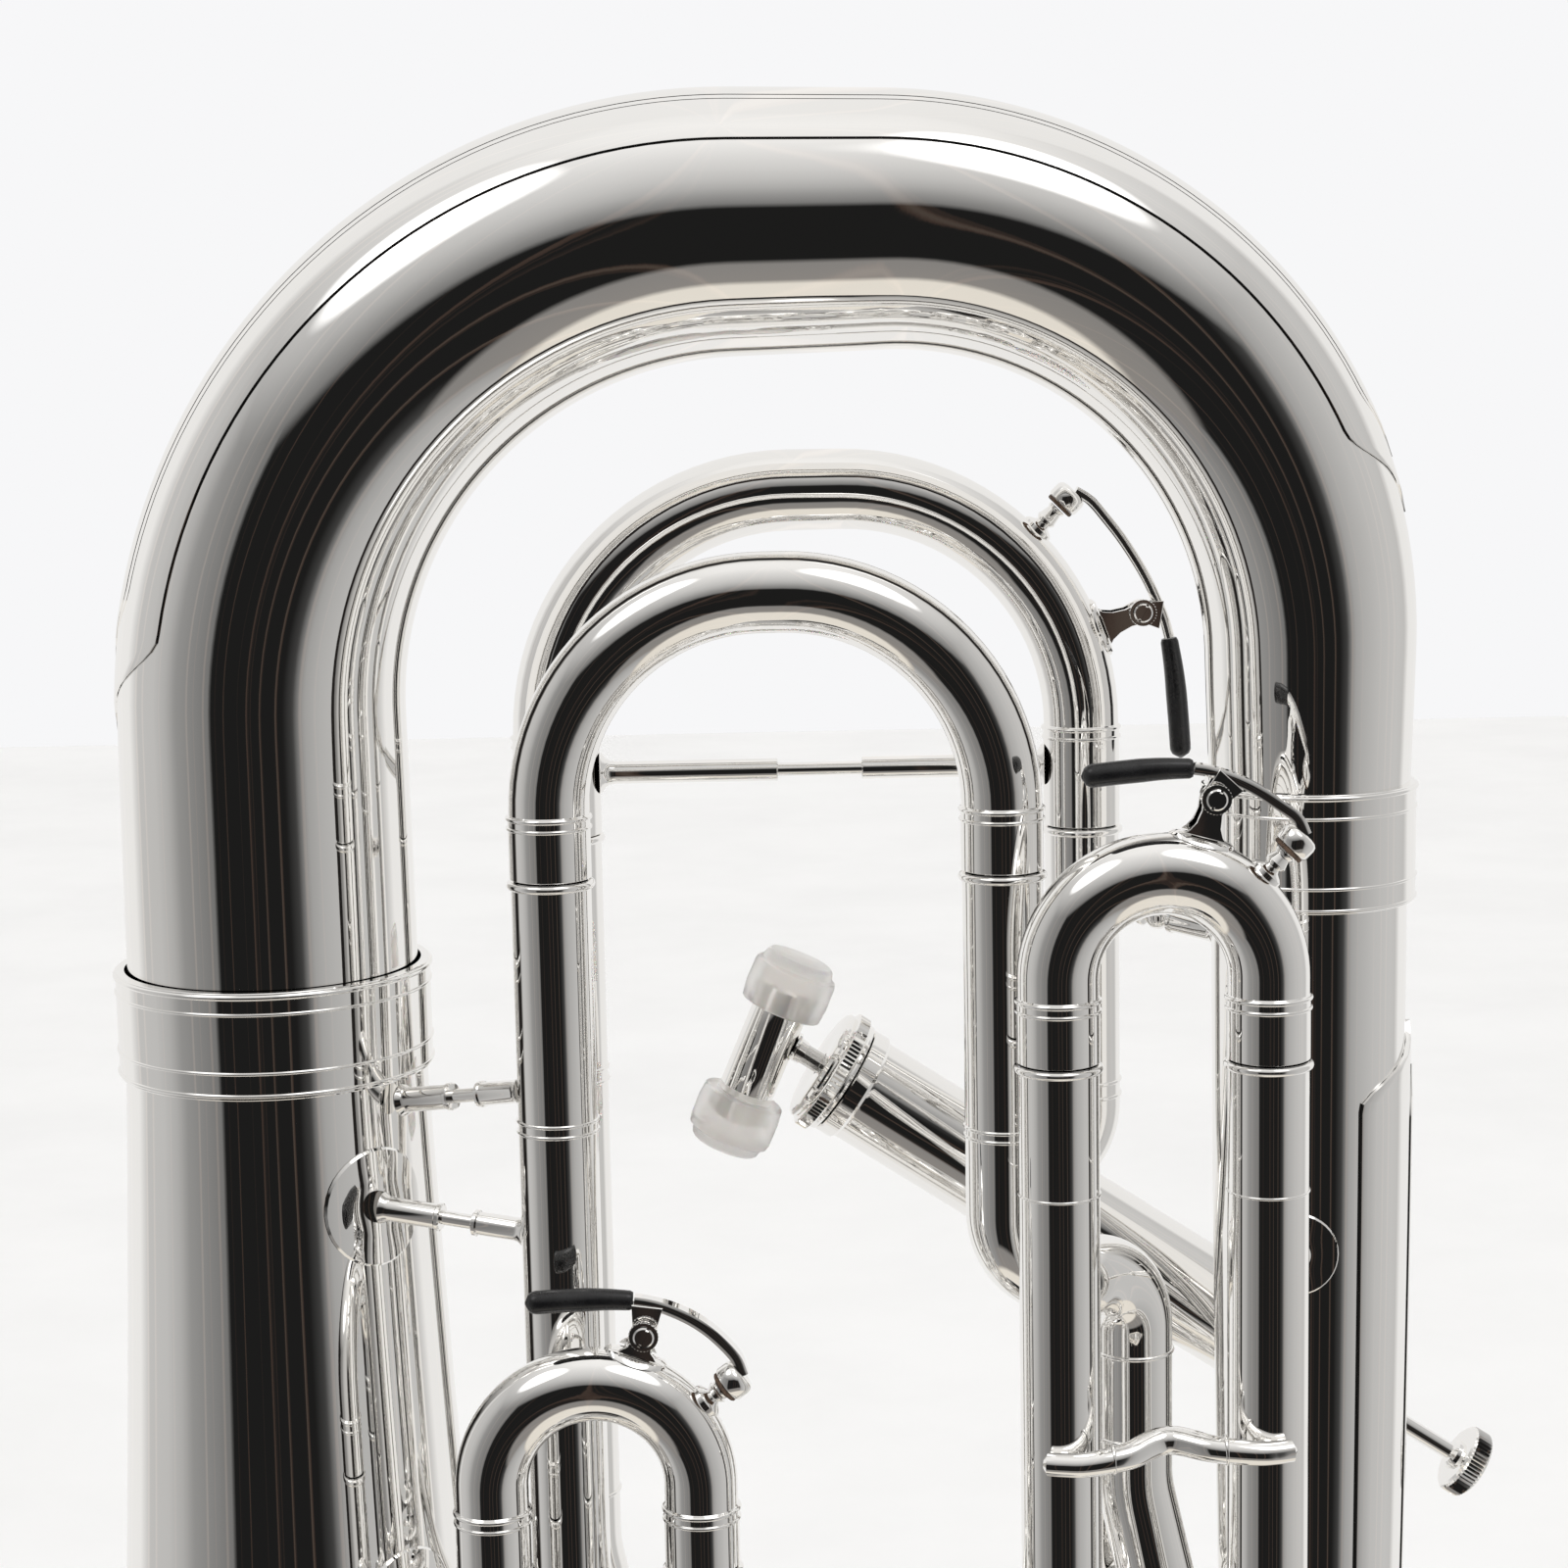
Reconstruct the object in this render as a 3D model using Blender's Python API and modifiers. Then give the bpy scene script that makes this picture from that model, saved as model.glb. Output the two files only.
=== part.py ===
"""A three-plus-one valve bass tuba, standing upside down on its bell.

Lengths are in millimetres and are turned into metres by at(). X and Y are measured
from the bell's axis and Z from the flat of the bell's rim. The audience is on the -Y
side, the player on the +Y side. Valves 1 to 3 stand in a row and are pressed upwards,
because the instrument is upside down; valve 4 lies across, behind the outer branch.
"""
import math

import bmesh
import bpy
from mathutils import Matrix, Vector

MM = 0.001
BELL_X = -48.0          # the bell's axis, so that the whole instrument is centred on X = 0
GAP = 0.4               # clearance between neighbouring pieces
WALL = 0.8              # sheet thickness of the tubing

# Bell
BELL_RIM_R = 242.0
BELL_NECK_R = 40.3
BELL_TOP_Z = 733.8
BELL_FLARE_SHIFT = 92.0
BELL_WALL = 1.0
RIM_BEAD = 2.4

# Bottom bow, from the bell's neck over to the outer branch
BOW_LEFT_Z = 734.6
BOW_RIGHT_Z = 777.4
BOW_TOP_Z = 944.8
BOW_RIGHT_X = 283.5
BOW_LEFT_BEND = 129.0
BOW_RIGHT_BEND = 115.0
BOW_R_LEFT = 39.4
BOW_R_RIGHT = 26.6
BOW_TAPER_POWER = 1.45
GUARD_LIFT = 1.0
GUARD_SHEET = 0.8
RAIL_HEIGHT = 0.6

# Branches, top bow and mouthpiece receiver
OUTER_BRANCH_TOP_Z = 776.6
OUTER_BRANCH_LOW_Z = 400.0
INNER_BRANCH_LOW_Z = 400.8
TOP_BOW_LEFT = (98.0, 52.0)
TOP_BOW_DEPTH = 94.0
RECEIVER_X = -74.0
RECEIVER_Z = 452.0
RECEIVER_START_Y = 62.0
RECEIVER_END_Y = 112.0

# Tuning slides: X of the left and right leg, Y, Z of the crook's centre, radius of its bends,
# Z of the fixed tubes' mouths and of the moving ferrules' tops, radius of the left and right
# tube, and how deep the sliding legs reach
MAIN_SLIDE = dict(left=75.8, right=226.0, y=48.0, centre=796.5, bend=67.8, mouth=774.1,
                  ferrule=803.4, r_left=12.2, r_right=10.6, legs=72.0)
FOURTH_SLIDE = dict(left=80.1, right=196.6, y=-48.0, centre=793.2, bend=55.4, mouth=778.4,
                    ferrule=795.6, r_left=10.4, r_right=10.4, legs=78.0)
THIRD_SLIDE = dict(left=208.4, right=261.3, y=-75.0, centre=755.2, bend=26.44, mouth=733.7,
                   ferrule=750.8, r_left=10.3, r_right=10.3, legs=110.0)
FIRST_SLIDE = dict(left=62.2, right=115.9, y=-75.0, centre=625.4, bend=26.84, mouth=603.4,
                   ferrule=619.8, r_left=9.4, r_right=9.4, legs=56.0)
SLIDES = dict(main=MAIN_SLIDE, fourth=FOURTH_SLIDE, third=THIRD_SLIDE, first=FIRST_SLIDE)
MAIN_BRACE_Z = 791.8
SECOND_SLIDE_Z = (430.0, 466.0)
SECOND_MOUTH_Y = 12.0
SECOND_CROOK_Y = 16.0
SECOND_LEGS = 22.0
SECOND_R = 9.6
LEG_STEP = 1.8          # how much thinner a sliding leg is than its outer tube
LEG_WALL = 0.7
SLEEVE_WALL = 0.7       # sheet thickness of an outer tube

# Valves: each stands on the face of its finger-side cap
VALVE_Y = -35.0
VALVE_X = (112.0, 150.0, 188.0)
STACK_FACE_Z = 383.0
CASING_LENGTH = 164.0
TRAVEL = 16.0
FOURTH_FACE = (149.0, 48.0, 705.6)
FOURTH_TILT = math.radians(33.4)
CASING_R = 15.5
CASING_WALL = 0.9
CAP_R = 18.5
CAP_HEIGHT = 9.0
BOTTOM_CAP_HEIGHT = 11.0
PISTON_R = 14.1
PISTON_WALL = 1.0
STEM_R = 3.0
SPRING_R = 10.0
BUTTON_STANDOFF = 17.5
BUTTON_R = 10.5
BUTTON_HEIGHT = 7.0
BAR_REACH = 15.3
BAR_R = 8.1
BAR_HALF = 13.5
BAR_DROP = 6.0
BAR_LEAN = math.radians(23.3)   # of the finger bar, from upright

# Ports of the valves: heights on the stack, distance along valve 4, and bores
LOW_PORT_Z = 430.0
MAIN_PORT_Z = 475.0
HIGH_PORT_Z = 520.0
TOP_PORT_Z = 545.0
LOOP_Z = (500.0, 528.0)
FOURTH_MAIN_PORT = 75.1
MAIN_TUBE_KNEE_Z = 686.0
RISER = (217.7, 48.0)
LOOP_RISER = (240.4, 48.0)
LOOP_Y = 20.0           # where the loop of the fourth slide crosses behind the stack
LOOP_CROSSING_Z = 550.0
BORE_R = 9.4
LOOP_R = 8.6
KNUCKLE_R = 10.4
PORT_REACH = 26.0
PATCH_SHEET = 1.2

# Water keys and lyre holder
LEVER_WIDTH = 5.0
LEVER_HALF = 0.8
CUP_HEIGHT = 6.4
EAR_R = 2.8
HUB_R = 3.2
PIN_R = 1.2
ROOT = 4.0              # how deep a soldered foot is sunk before the tube is bored
LYRE_START = (322.9, 48.0, 590.9)

# Facets
SIDES_TUBE = 8
SIDES_CROOK = 10
SIDES_CAP = 12
SIDES_BRANCH = 12
SIDES_CASING = 14
SIDES_BOW = 20
SIDES_BELL = 32
WELD = 0.0000005        # metres within which two vertices are one
CLOSE = 0.1             # points of a line that are nearer than this are one
BEND_STEP = math.radians(30.0)
CROOK_STEP = math.radians(22.5)
BOW_STEP = math.radians(18.0)
GUARD_STEP = math.radians(14.0)


def at(x, y, z):
    """A point in metres, from millimetres off the bell's axis and rim."""
    return Vector((x + BELL_X, y, z)) * MM


# ---------------------------------------------------------------- scene and materials

def clear_scene():
    for old in list(bpy.data.objects):
        bpy.data.objects.remove(old, do_unlink=True)


def collection(name):
    made = bpy.data.collections.new(name)
    bpy.context.scene.collection.children.link(made)
    return made


def material(name, colour, roughness, metallic):
    made = bpy.data.materials.new(name)
    made.use_nodes = True
    shader = made.node_tree.nodes["Principled BSDF"]
    shader.inputs["Base Color"].default_value = (*colour, 1.0)
    shader.inputs["Roughness"].default_value = roughness
    shader.inputs["Metallic"].default_value = metallic
    return made


clear_scene()
PARTS = collection("tuba")
CUTTERS = collection("cutters")
SILVER = material("silver_plate", (0.91, 0.90, 0.88), 0.06, 1.0)
SATIN = material("satin_silver", (0.78, 0.78, 0.77), 0.28, 1.0)
RUBBER = material("black_rubber", (0.015, 0.015, 0.015), 0.35, 0.0)
PLASTIC = material("frosted_plastic", (0.90, 0.89, 0.87), 0.45, 0.0)
STEEL = material("spring_steel", (0.55, 0.55, 0.56), 0.30, 1.0)
PEARL = material("pearl", (0.93, 0.92, 0.89), 0.20, 0.0)


# ---------------------------------------------------------------- making solids

def temporary(name, data):
    """A helper object that isn't part of the instrument."""
    made = bpy.data.objects.new(name, data)
    made.hide_render = True
    made.display_type = "WIRE"
    CUTTERS.objects.link(made)
    return made


def baked(temp):
    """The evaluated mesh of a temporary object, in world space; the object is removed."""
    graph = bpy.context.evaluated_depsgraph_get()
    mesh = bpy.data.meshes.new_from_object(temp.evaluated_get(graph))
    mesh.transform(temp.matrix_world)
    bpy.data.objects.remove(temp, do_unlink=True)
    bm = bmesh.new()
    bm.from_mesh(mesh)
    bmesh.ops.remove_doubles(bm, verts=bm.verts, dist=WELD)
    stray = [f for f in bm.faces if all(len(e.link_faces) == 1 for e in f.edges)]
    bmesh.ops.delete(bm, geom=stray, context="FACES")
    rim = [e for e in bm.edges if len(e.link_faces) == 1]
    if rim:
        bmesh.ops.holes_fill(bm, edges=rim, sides=4)
        bmesh.ops.recalc_face_normals(bm, faces=bm.faces)
    bm.to_mesh(mesh)
    bm.free()
    return mesh


def part(name, meshes, finish, origin=None):
    """One named sub-part out of its solids, with its origin where it turns or slides."""
    bm = bmesh.new()
    for mesh in meshes:
        bm.from_mesh(mesh)
        bpy.data.meshes.remove(mesh)
    origin = origin if origin is not None else Vector((0.0, 0.0, 0.0))
    bmesh.ops.translate(bm, verts=bm.verts, vec=-origin)
    whole = bpy.data.meshes.new(name)
    bm.to_mesh(whole)
    bm.free()
    whole.shade_smooth()
    whole.set_sharp_from_angle(angle=math.radians(40.0))
    whole.materials.clear()
    whole.materials.append(finish)
    made = bpy.data.objects.new(name, whole)
    made.location = origin
    PARTS.objects.link(made)
    return made


def route(corners, bends, step=BEND_STEP):
    """A polyline through the corners, each inner corner rounded by an arc."""
    corners = [Vector(c) for c in corners]
    if not hasattr(bends, "__len__"):
        bends = [bends] * (len(corners) - 2)
    points = [corners[0]]
    for before, here, after, bend in zip(corners, corners[1:], corners[2:], bends):
        arrive = (here - before).normalized()
        leave = (after - here).normalized()
        turn = arrive.angle(leave)
        back = bend * math.tan(turn / 2)
        centre_way = (leave - arrive).normalized()
        centre = here + centre_way * (bend / math.cos(turn / 2))
        start = here - arrive * back - centre
        axis = arrive.cross(leave).normalized()
        steps = max(2, round(turn / step))
        for i in range(steps + 1):
            points.append(centre + Matrix.Rotation(turn * i / steps, 3, axis) @ start)
    points.append(corners[-1])
    return [points[0]] + [b for a, b in zip(points, points[1:]) if (b - a).length > CLOSE]


def fractions(points):
    """How far along the line each point lies, from 0 to 1."""
    run = [0.0]
    for a, b in zip(points, points[1:]):
        run.append(run[-1] + (Vector(b) - Vector(a)).length)
    return [r / run[-1] for r in run]


def pipe_curve(points, radii, sides, caps):
    data = bpy.data.curves.new("pipe", "CURVE")
    data.dimensions = "3D"
    data.bevel_depth = 1.0
    data.bevel_resolution = (sides - 4) // 2
    data.use_fill_caps = caps
    spline = data.splines.new("POLY")
    spline.points.add(len(points) - 1)
    for point, place, radius in zip(spline.points, points, radii):
        point.co = (*at(*place), 1.0)
        point.radius = radius * MM
    return temporary("pipe", data)


def per_point(points, radius):
    return list(radius) if hasattr(radius, "__len__") else [radius] * len(points)


def rod(points, radius, sides=8):
    """A solid round bar along a line."""
    return baked(pipe_curve(points, per_point(points, radius), sides, True))


def shaped(base, adds=(), cuts=()):
    """A mesh with other meshes joined to it and cutter objects taken from it."""
    base = temporary("base", base)
    joined = [temporary("joined", mesh) for mesh in adds]
    for operation, others in (("UNION", joined), ("DIFFERENCE", cuts)):
        for other in others:
            step = base.modifiers.new(operation.lower(), "BOOLEAN")
            step.operation = operation
            step.solver = "EXACT"
            step.object = other
    bpy.context.view_layer.update()
    result = baked(base)
    for other in joined:
        bpy.data.objects.remove(other, do_unlink=True)
    return result


def bore(points, radius, sides):
    """A cutter along a line, a little longer than the tube that it hollows."""
    points = [Vector(p) for p in points]
    radii = per_point(points, radius)
    first = points[0] + (points[0] - points[1]).normalized() * 2
    last = points[-1] + (points[-1] - points[-2]).normalized() * 2
    return temporary("bore", rod([first, *points, last], [radii[0], *radii, radii[-1]], sides))


def tubing(runs, adds=(), cuts=(), bores=()):
    """Open-ended tubes joined into one body; a run is its points, radius, bore radius and sides."""
    solids = [rod(points, radius, sides) for points, radius, _, sides in runs]
    bores = list(bores) or [bore(points, inner, sides) for points, _, inner, sides in runs]
    result = shaped(solids[0], [*solids[1:], *adds], [*bores, *cuts])
    for cutter in bores:
        bpy.data.objects.remove(cutter, do_unlink=True)
    return result


def thinner(radii, wall=WALL):
    return [r - wall for r in radii]


def placed(direction, origin):
    """The matrix that stands a shape made along +Z on origin, pointing in direction."""
    turn = Vector((0.0, 0.0, 1.0)).rotation_difference(Vector(direction).normalized())
    return Matrix.Translation(at(*origin)) @ turn.to_matrix().to_4x4()


def turned(profile, origin, direction=(0, 0, 1), sides=SIDES_TUBE, keep=False):
    """A turned shape: (radius, height) points down the outer side, and up the inner side."""
    bm = bmesh.new()
    verts = [bm.verts.new((r * MM, 0.0, h * MM)) for r, h in profile]
    for a, b in zip(verts, verts[1:]):
        bm.edges.new((a, b))
    if profile[0][0] > 0:
        bm.edges.new((verts[-1], verts[0]))
    mesh = bpy.data.meshes.new("turned")
    bm.to_mesh(mesh)
    bm.free()
    temp = temporary("turned", mesh)
    screw = temp.modifiers.new("turn", "SCREW")
    screw.steps = sides
    screw.render_steps = sides
    screw.use_merge_vertices = True
    screw.merge_threshold = 0.00001
    temp.matrix_world = placed(direction, origin)
    bpy.context.view_layer.update()
    return temporary("cutter", baked(temp)) if keep else baked(temp)


def sleeve_profile(outer, inner, low, high):
    return [(outer, high), (outer, low), (inner, low), (inner, high)]


def outline(points, holes, y, thickness):
    """A flat piece in a vertical plane facing the audience, from its outline in X and Z."""
    data = bpy.data.curves.new("outline", "CURVE")
    data.dimensions = "2D"
    data.fill_mode = "BOTH"
    data.extrude = thickness / 2 * MM
    for loop in [points, *holes]:
        spline = data.splines.new("POLY")
        spline.points.add(len(loop) - 1)
        spline.use_cyclic_u = True
        for point, (x, z) in zip(spline.points, loop):
            point.co = (*(Vector((x + BELL_X, z)) * MM), 0.0, 1.0)
    temp = temporary("outline", data)
    temp.matrix_world = Matrix.Translation((0.0, y * MM, 0.0)) @ Matrix.Rotation(math.pi / 2, 4, "X")
    bpy.context.view_layer.update()
    return baked(temp)


# ---------------------------------------------------------------- bell, bows and branches

def bell_radius(z):
    """The flare: a power law that opens towards the rim."""
    shift = BELL_FLARE_SHIFT
    power = math.log(BELL_RIM_R / BELL_NECK_R) / math.log((BELL_TOP_Z + shift) / shift)
    return BELL_NECK_R * ((BELL_TOP_Z + shift) / (z + shift)) ** power


def make_bell():
    heights = [BELL_TOP_Z * (i / 8) ** 2.1 for i in range(8, 0, -1)]
    outside = [(bell_radius(z), z) for z in heights if z > RIM_BEAD * 2]
    bead = [(BELL_RIM_R - 0.6, RIM_BEAD * 1.6), (BELL_RIM_R, RIM_BEAD), (BELL_RIM_R - 0.6, 0.6),
            (BELL_RIM_R - 1.2, 0.0), (BELL_RIM_R - 4.2, 0.0), (BELL_RIM_R - 5.0, RIM_BEAD)]
    inside = [(r - BELL_WALL, z - BELL_WALL * (1 - z / BELL_TOP_Z)) for r, z in reversed(outside)]
    part("bell", [turned(outside + bead + inside, (0, 0, 0), sides=SIDES_BELL)], SILVER)


def bow_path():
    corners = [(0, 0, BOW_LEFT_Z), (0, 0, BOW_TOP_Z), (BOW_RIGHT_X, 0, BOW_TOP_Z),
               (BOW_RIGHT_X, 0, BOW_RIGHT_Z)]
    return route(corners, [BOW_LEFT_BEND, BOW_RIGHT_BEND], BOW_STEP)


def bow_radii():
    taper = BOW_R_LEFT - BOW_R_RIGHT
    return [BOW_R_LEFT - taper * t ** BOW_TAPER_POWER for t in fractions(bow_path())]


def branch_radius(z):
    """The outer branch narrows slowly towards the top bow."""
    down = (OUTER_BRANCH_TOP_Z - z) / (OUTER_BRANCH_TOP_Z - OUTER_BRANCH_LOW_Z)
    return 26.4 - 6.0 * down ** 2


def make_bows_and_branches():
    radii = bow_radii()
    part("bottom_bow", [tubing([(bow_path(), radii, thinner(radii, 1.0), SIDES_BOW)])], SILVER)

    heights = [OUTER_BRANCH_TOP_Z, 650.0, 520.0, OUTER_BRANCH_LOW_Z + 0.8]
    outer = [Vector((BOW_RIGHT_X, 0, z)) for z in heights]
    radii = [branch_radius(z) for z in heights]
    part("outer_branch", [tubing([(outer, radii, thinner(radii), SIDES_BRANCH)])], SILVER)

    top = Vector((MAIN_SLIDE["left"], MAIN_SLIDE["y"], MAIN_SLIDE["mouth"]))
    knee = Vector((top.x, top.y, 560.0))
    ankle = Vector((*TOP_BOW_LEFT, 441.0))
    foot = Vector((*TOP_BOW_LEFT, INNER_BRANCH_LOW_Z))
    inner = route([top, knee, ankle, foot], 60)
    radii = [MAIN_SLIDE["r_left"] + 4.3 * max(0.0, (560.0 - p.z) / (560.0 - foot.z)) for p in inner]
    part("inner_branch", [tubing([(inner, radii, thinner(radii, SLEEVE_WALL), SIDES_BRANCH)])], SILVER)
    make_top_bow()


def make_top_bow():
    """The bow between the branches, with a sleeve at each end around the branch that it meets."""
    join = OUTER_BRANCH_LOW_Z
    left = Vector((*TOP_BOW_LEFT, join - 1.0))
    right = Vector((BOW_RIGHT_X, 0, join - 1.0))
    middle = (left + right) / 2
    steps = 7
    arc = [middle + (left - middle) * math.cos(math.pi * i / steps)
           - Vector((0, 0, TOP_BOW_DEPTH)) * math.sin(math.pi * i / steps) for i in range(steps + 1)]
    up = Vector((0, 0, 1))
    points = [left + up * 12, left + up * 0.6, *arc, right + up * 0.6, right + up * 12]
    tube = [16.8 + 3.6 * t for t in fractions(arc)]
    outer = [18.8, 18.8, *tube, 22.6, 22.6]
    inner = [17.3, 17.3, *thinner(tube, 1.2), 21.2, 21.2]
    part("top_bow", [tubing([(points, outer, inner, SIDES_BRANCH)])], SILVER)


def make_joint_ferrules():
    """The sleeves that hide where the bottom bow meets the bell and the outer branch."""
    left = turned(sleeve_profile(42.4, 41.4, 719.8, 748.6), (0, 0, 0), sides=SIDES_BELL)
    part("bell_ferrule", [left], SILVER)
    right = turned(sleeve_profile(28.6, 27.7, 761.1, 793.1), (BOW_RIGHT_X, 0, 0), sides=SIDES_BOW)
    part("branch_ferrule", [right], SILVER)


def crown_strip(points, radii, half_angles, lift, thickness):
    """A thin plate that lies on the outer crown of a tube that runs in the X-Z plane."""
    bm = bmesh.new()
    columns = 2 * math.ceil(max(half_angles) / GUARD_STEP)
    rows = []
    for i, (point, radius, half) in enumerate(zip(points, radii, half_angles)):
        before = points[max(i - 1, 0)]
        after = points[min(i + 1, len(points) - 1)]
        along = (after - before).normalized()
        crown = along.cross(Vector((0, 1, 0)))
        row = []
        for j in range(columns + 1):
            angle = half * (2 * j / columns - 1)
            spoke = crown * math.cos(angle) + Vector((0, 1, 0)) * math.sin(angle)
            row.append(bm.verts.new(at(*(point + spoke * (radius + lift)))))
        rows.append(row)
    for a, b in zip(rows, rows[1:]):
        for j in range(columns):
            bm.faces.new((a[j], b[j], b[j + 1], a[j + 1]))
    mesh = bpy.data.meshes.new("strip")
    bm.to_mesh(mesh)
    bm.free()
    temp = temporary("strip", mesh)
    shell = temp.modifiers.new("sheet", "SOLIDIFY")
    shell.thickness = thickness * MM
    shell.offset = 1.0
    return baked(temp)


def pointed(count, widest, tip):
    """Half angles of a strip that comes to a blunt point at both ends."""
    return [math.radians(tip if i in (0, count - 1) else widest) for i in range(count)]


def make_guards():
    """The plates that take the knocks: a broad sheet with a raised rail along its middle."""
    points = bow_path()[1:-2]
    radii = bow_radii()[1:-2]
    plate = crown_strip(points, radii, pointed(len(points), 52, 34), GUARD_LIFT, GUARD_SHEET)
    rail = crown_strip(points, radii, pointed(len(points), 22, 10), GUARD_LIFT + GUARD_SHEET / 2,
                       GUARD_SHEET + RAIL_HEIGHT)
    part("bow_guard", [shaped(plate, [rail])], SILVER)

    heights = [726.0, 713.0, 640.0, 560.0, 480.0, 437.0, 424.0]
    places = [Vector((BOW_RIGHT_X, 0, z)) for z in heights]
    sizes = [branch_radius(z) for z in heights]
    plate = crown_strip(places, sizes, pointed(7, 67, 48), GUARD_LIFT, GUARD_SHEET)
    rail = crown_strip(places[1:-1], sizes[1:-1], pointed(5, 12, 12),
                       GUARD_LIFT + GUARD_SHEET / 2, GUARD_SHEET + RAIL_HEIGHT)
    part("branch_guard", [shaped(plate, [rail])], SILVER)


# ---------------------------------------------------------------- leadpipe

def make_leadpipe(casings):
    corners = [(VALVE_X[0], VALVE_Y, MAIN_PORT_Z), (68, -38, 473), (22, -78, 468),
               (RECEIVER_X, -78, 458), (RECEIVER_X, RECEIVER_START_Y, RECEIVER_Z)]
    path = route(corners, [24, 36, 56])
    radii = [8.2 - 1.4 * t for t in fractions(path)]
    part("leadpipe", [tubing([(path, radii, thinner(radii), SIDES_TUBE)], cuts=[casings[0]])], SILVER)


def make_receiver():
    length = RECEIVER_END_Y - RECEIVER_START_Y - GAP
    profile = [(10.5, length), (10.5, length - 5), (8.8, length - 6), (8.4, 0), (5.6, 0), (6.5, length)]
    start = (RECEIVER_X, RECEIVER_START_Y + GAP, RECEIVER_Z)
    part("mouthpiece_receiver", [turned(profile, start, (0, 1, 0), SIDES_BRANCH)], SILVER)


# ---------------------------------------------------------------- tuning slides

def crook_bend(slide):
    """Centreline points of a crook, from the top of its left leg to the top of its right leg."""
    left, right, y, z = slide["left"], slide["right"], slide["y"], slide["centre"]
    crown = z + (right - left) / 2
    low = slide["ferrule"] + 1.0
    bend = slide["bend"]
    points = route([(left, y, low), (left, y, crown), (right, y, crown), (right, y, low)],
                   bend, CROOK_STEP)
    return points[1:-1]


def crook_corner(slide):
    """The centre of the crook's right-hand bend, in X and Z."""
    crown = slide["centre"] + (slide["right"] - slide["left"]) / 2
    return Vector((slide["right"] - slide["bend"], crown - slide["bend"]))


def crook_tube(slide, adds):
    """A crook: thin sliding legs, a ferrule above each of them and the full-size bend."""
    bend = crook_bend(slide)
    foot = slide["mouth"] - slide["legs"]
    low = slide["mouth"] + GAP
    high = slide["ferrule"]
    shares = fractions(bend)
    tube = [slide["r_left"] + (slide["r_right"] - slide["r_left"]) * t for t in shares]
    points, radii = list(bend), list(tube)
    hollow, hollow_radii = list(bend), thinner(tube)
    for x, y, r in leg_places(slide):
        thin = r - LEG_STEP
        leg = [(foot, thin), (low, thin), (low + 0.1, r + 0.2), (high, r + 0.2), (high + 0.1, r)]
        inside = [(foot, thin - LEG_WALL), (high, thin - LEG_WALL)]
        line, sizes = [Vector((x, y, z)) for z, _ in leg], [size for _, size in leg]
        bored, bored_sizes = [Vector((x, y, z)) for z, _ in inside], [size for _, size in inside]
        if x == slide["left"]:
            points, radii = line + points, sizes + radii
            hollow, hollow_radii = bored + hollow, bored_sizes + hollow_radii
        else:
            points, radii = points + line[::-1], radii + sizes[::-1]
            hollow, hollow_radii = hollow + bored[::-1], hollow_radii + bored_sizes[::-1]
    return tubing([(points, radii, None, SIDES_CROOK)], adds,
                  bores=[bore(hollow, hollow_radii, SIDES_CROOK)])


def leg_places(slide):
    return [(slide["left"], slide["y"], slide["r_left"]), (slide["right"], slide["y"], slide["r_right"])]


def slide_origin(slide):
    return at((slide["left"] + slide["right"]) / 2, slide["y"], slide["mouth"])


def leg_into_valve(slide, index, target, z):
    """A fixed leg that runs down and then bends into a valve casing."""
    x, y, r = leg_places(slide)[index]
    path = route([(x, y, slide["mouth"]), (x, y, z), (target, VALVE_Y, z)], 20.0)
    return path, r, r - SLEEVE_WALL, SIDES_TUBE


def make_crooks(keys):
    for name, slide in SLIDES.items():
        adds = [mesh for key in keys if key.slide is slide for mesh in key.mount()]
        part(name + "_slide_crook", [crook_tube(slide, adds)], SILVER, slide_origin(slide))


def make_main_slide_brace():
    """The stay between the moving ferrules of the main slide: rod, two sleeves, flared feet."""
    left = MAIN_SLIDE["left"] + MAIN_SLIDE["r_left"] + GAP + 0.3
    right = MAIN_SLIDE["right"] - MAIN_SLIDE["r_right"] - GAP - 0.3
    span = right - left
    near = 0.40 * span
    far = 0.59 * span
    profile = [(0, span), (6.0, span), (3.4, span - 2.5), (3.2, far), (1.9, far), (1.9, near),
               (3.2, near), (3.4, 2.5), (6.0, 0), (0, 0)]
    place = (left, MAIN_SLIDE["y"], MAIN_BRACE_Z)
    part("main_slide_brace", [turned(profile, place, (1, 0, 0), 8)], SILVER, slide_origin(MAIN_SLIDE))


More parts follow.
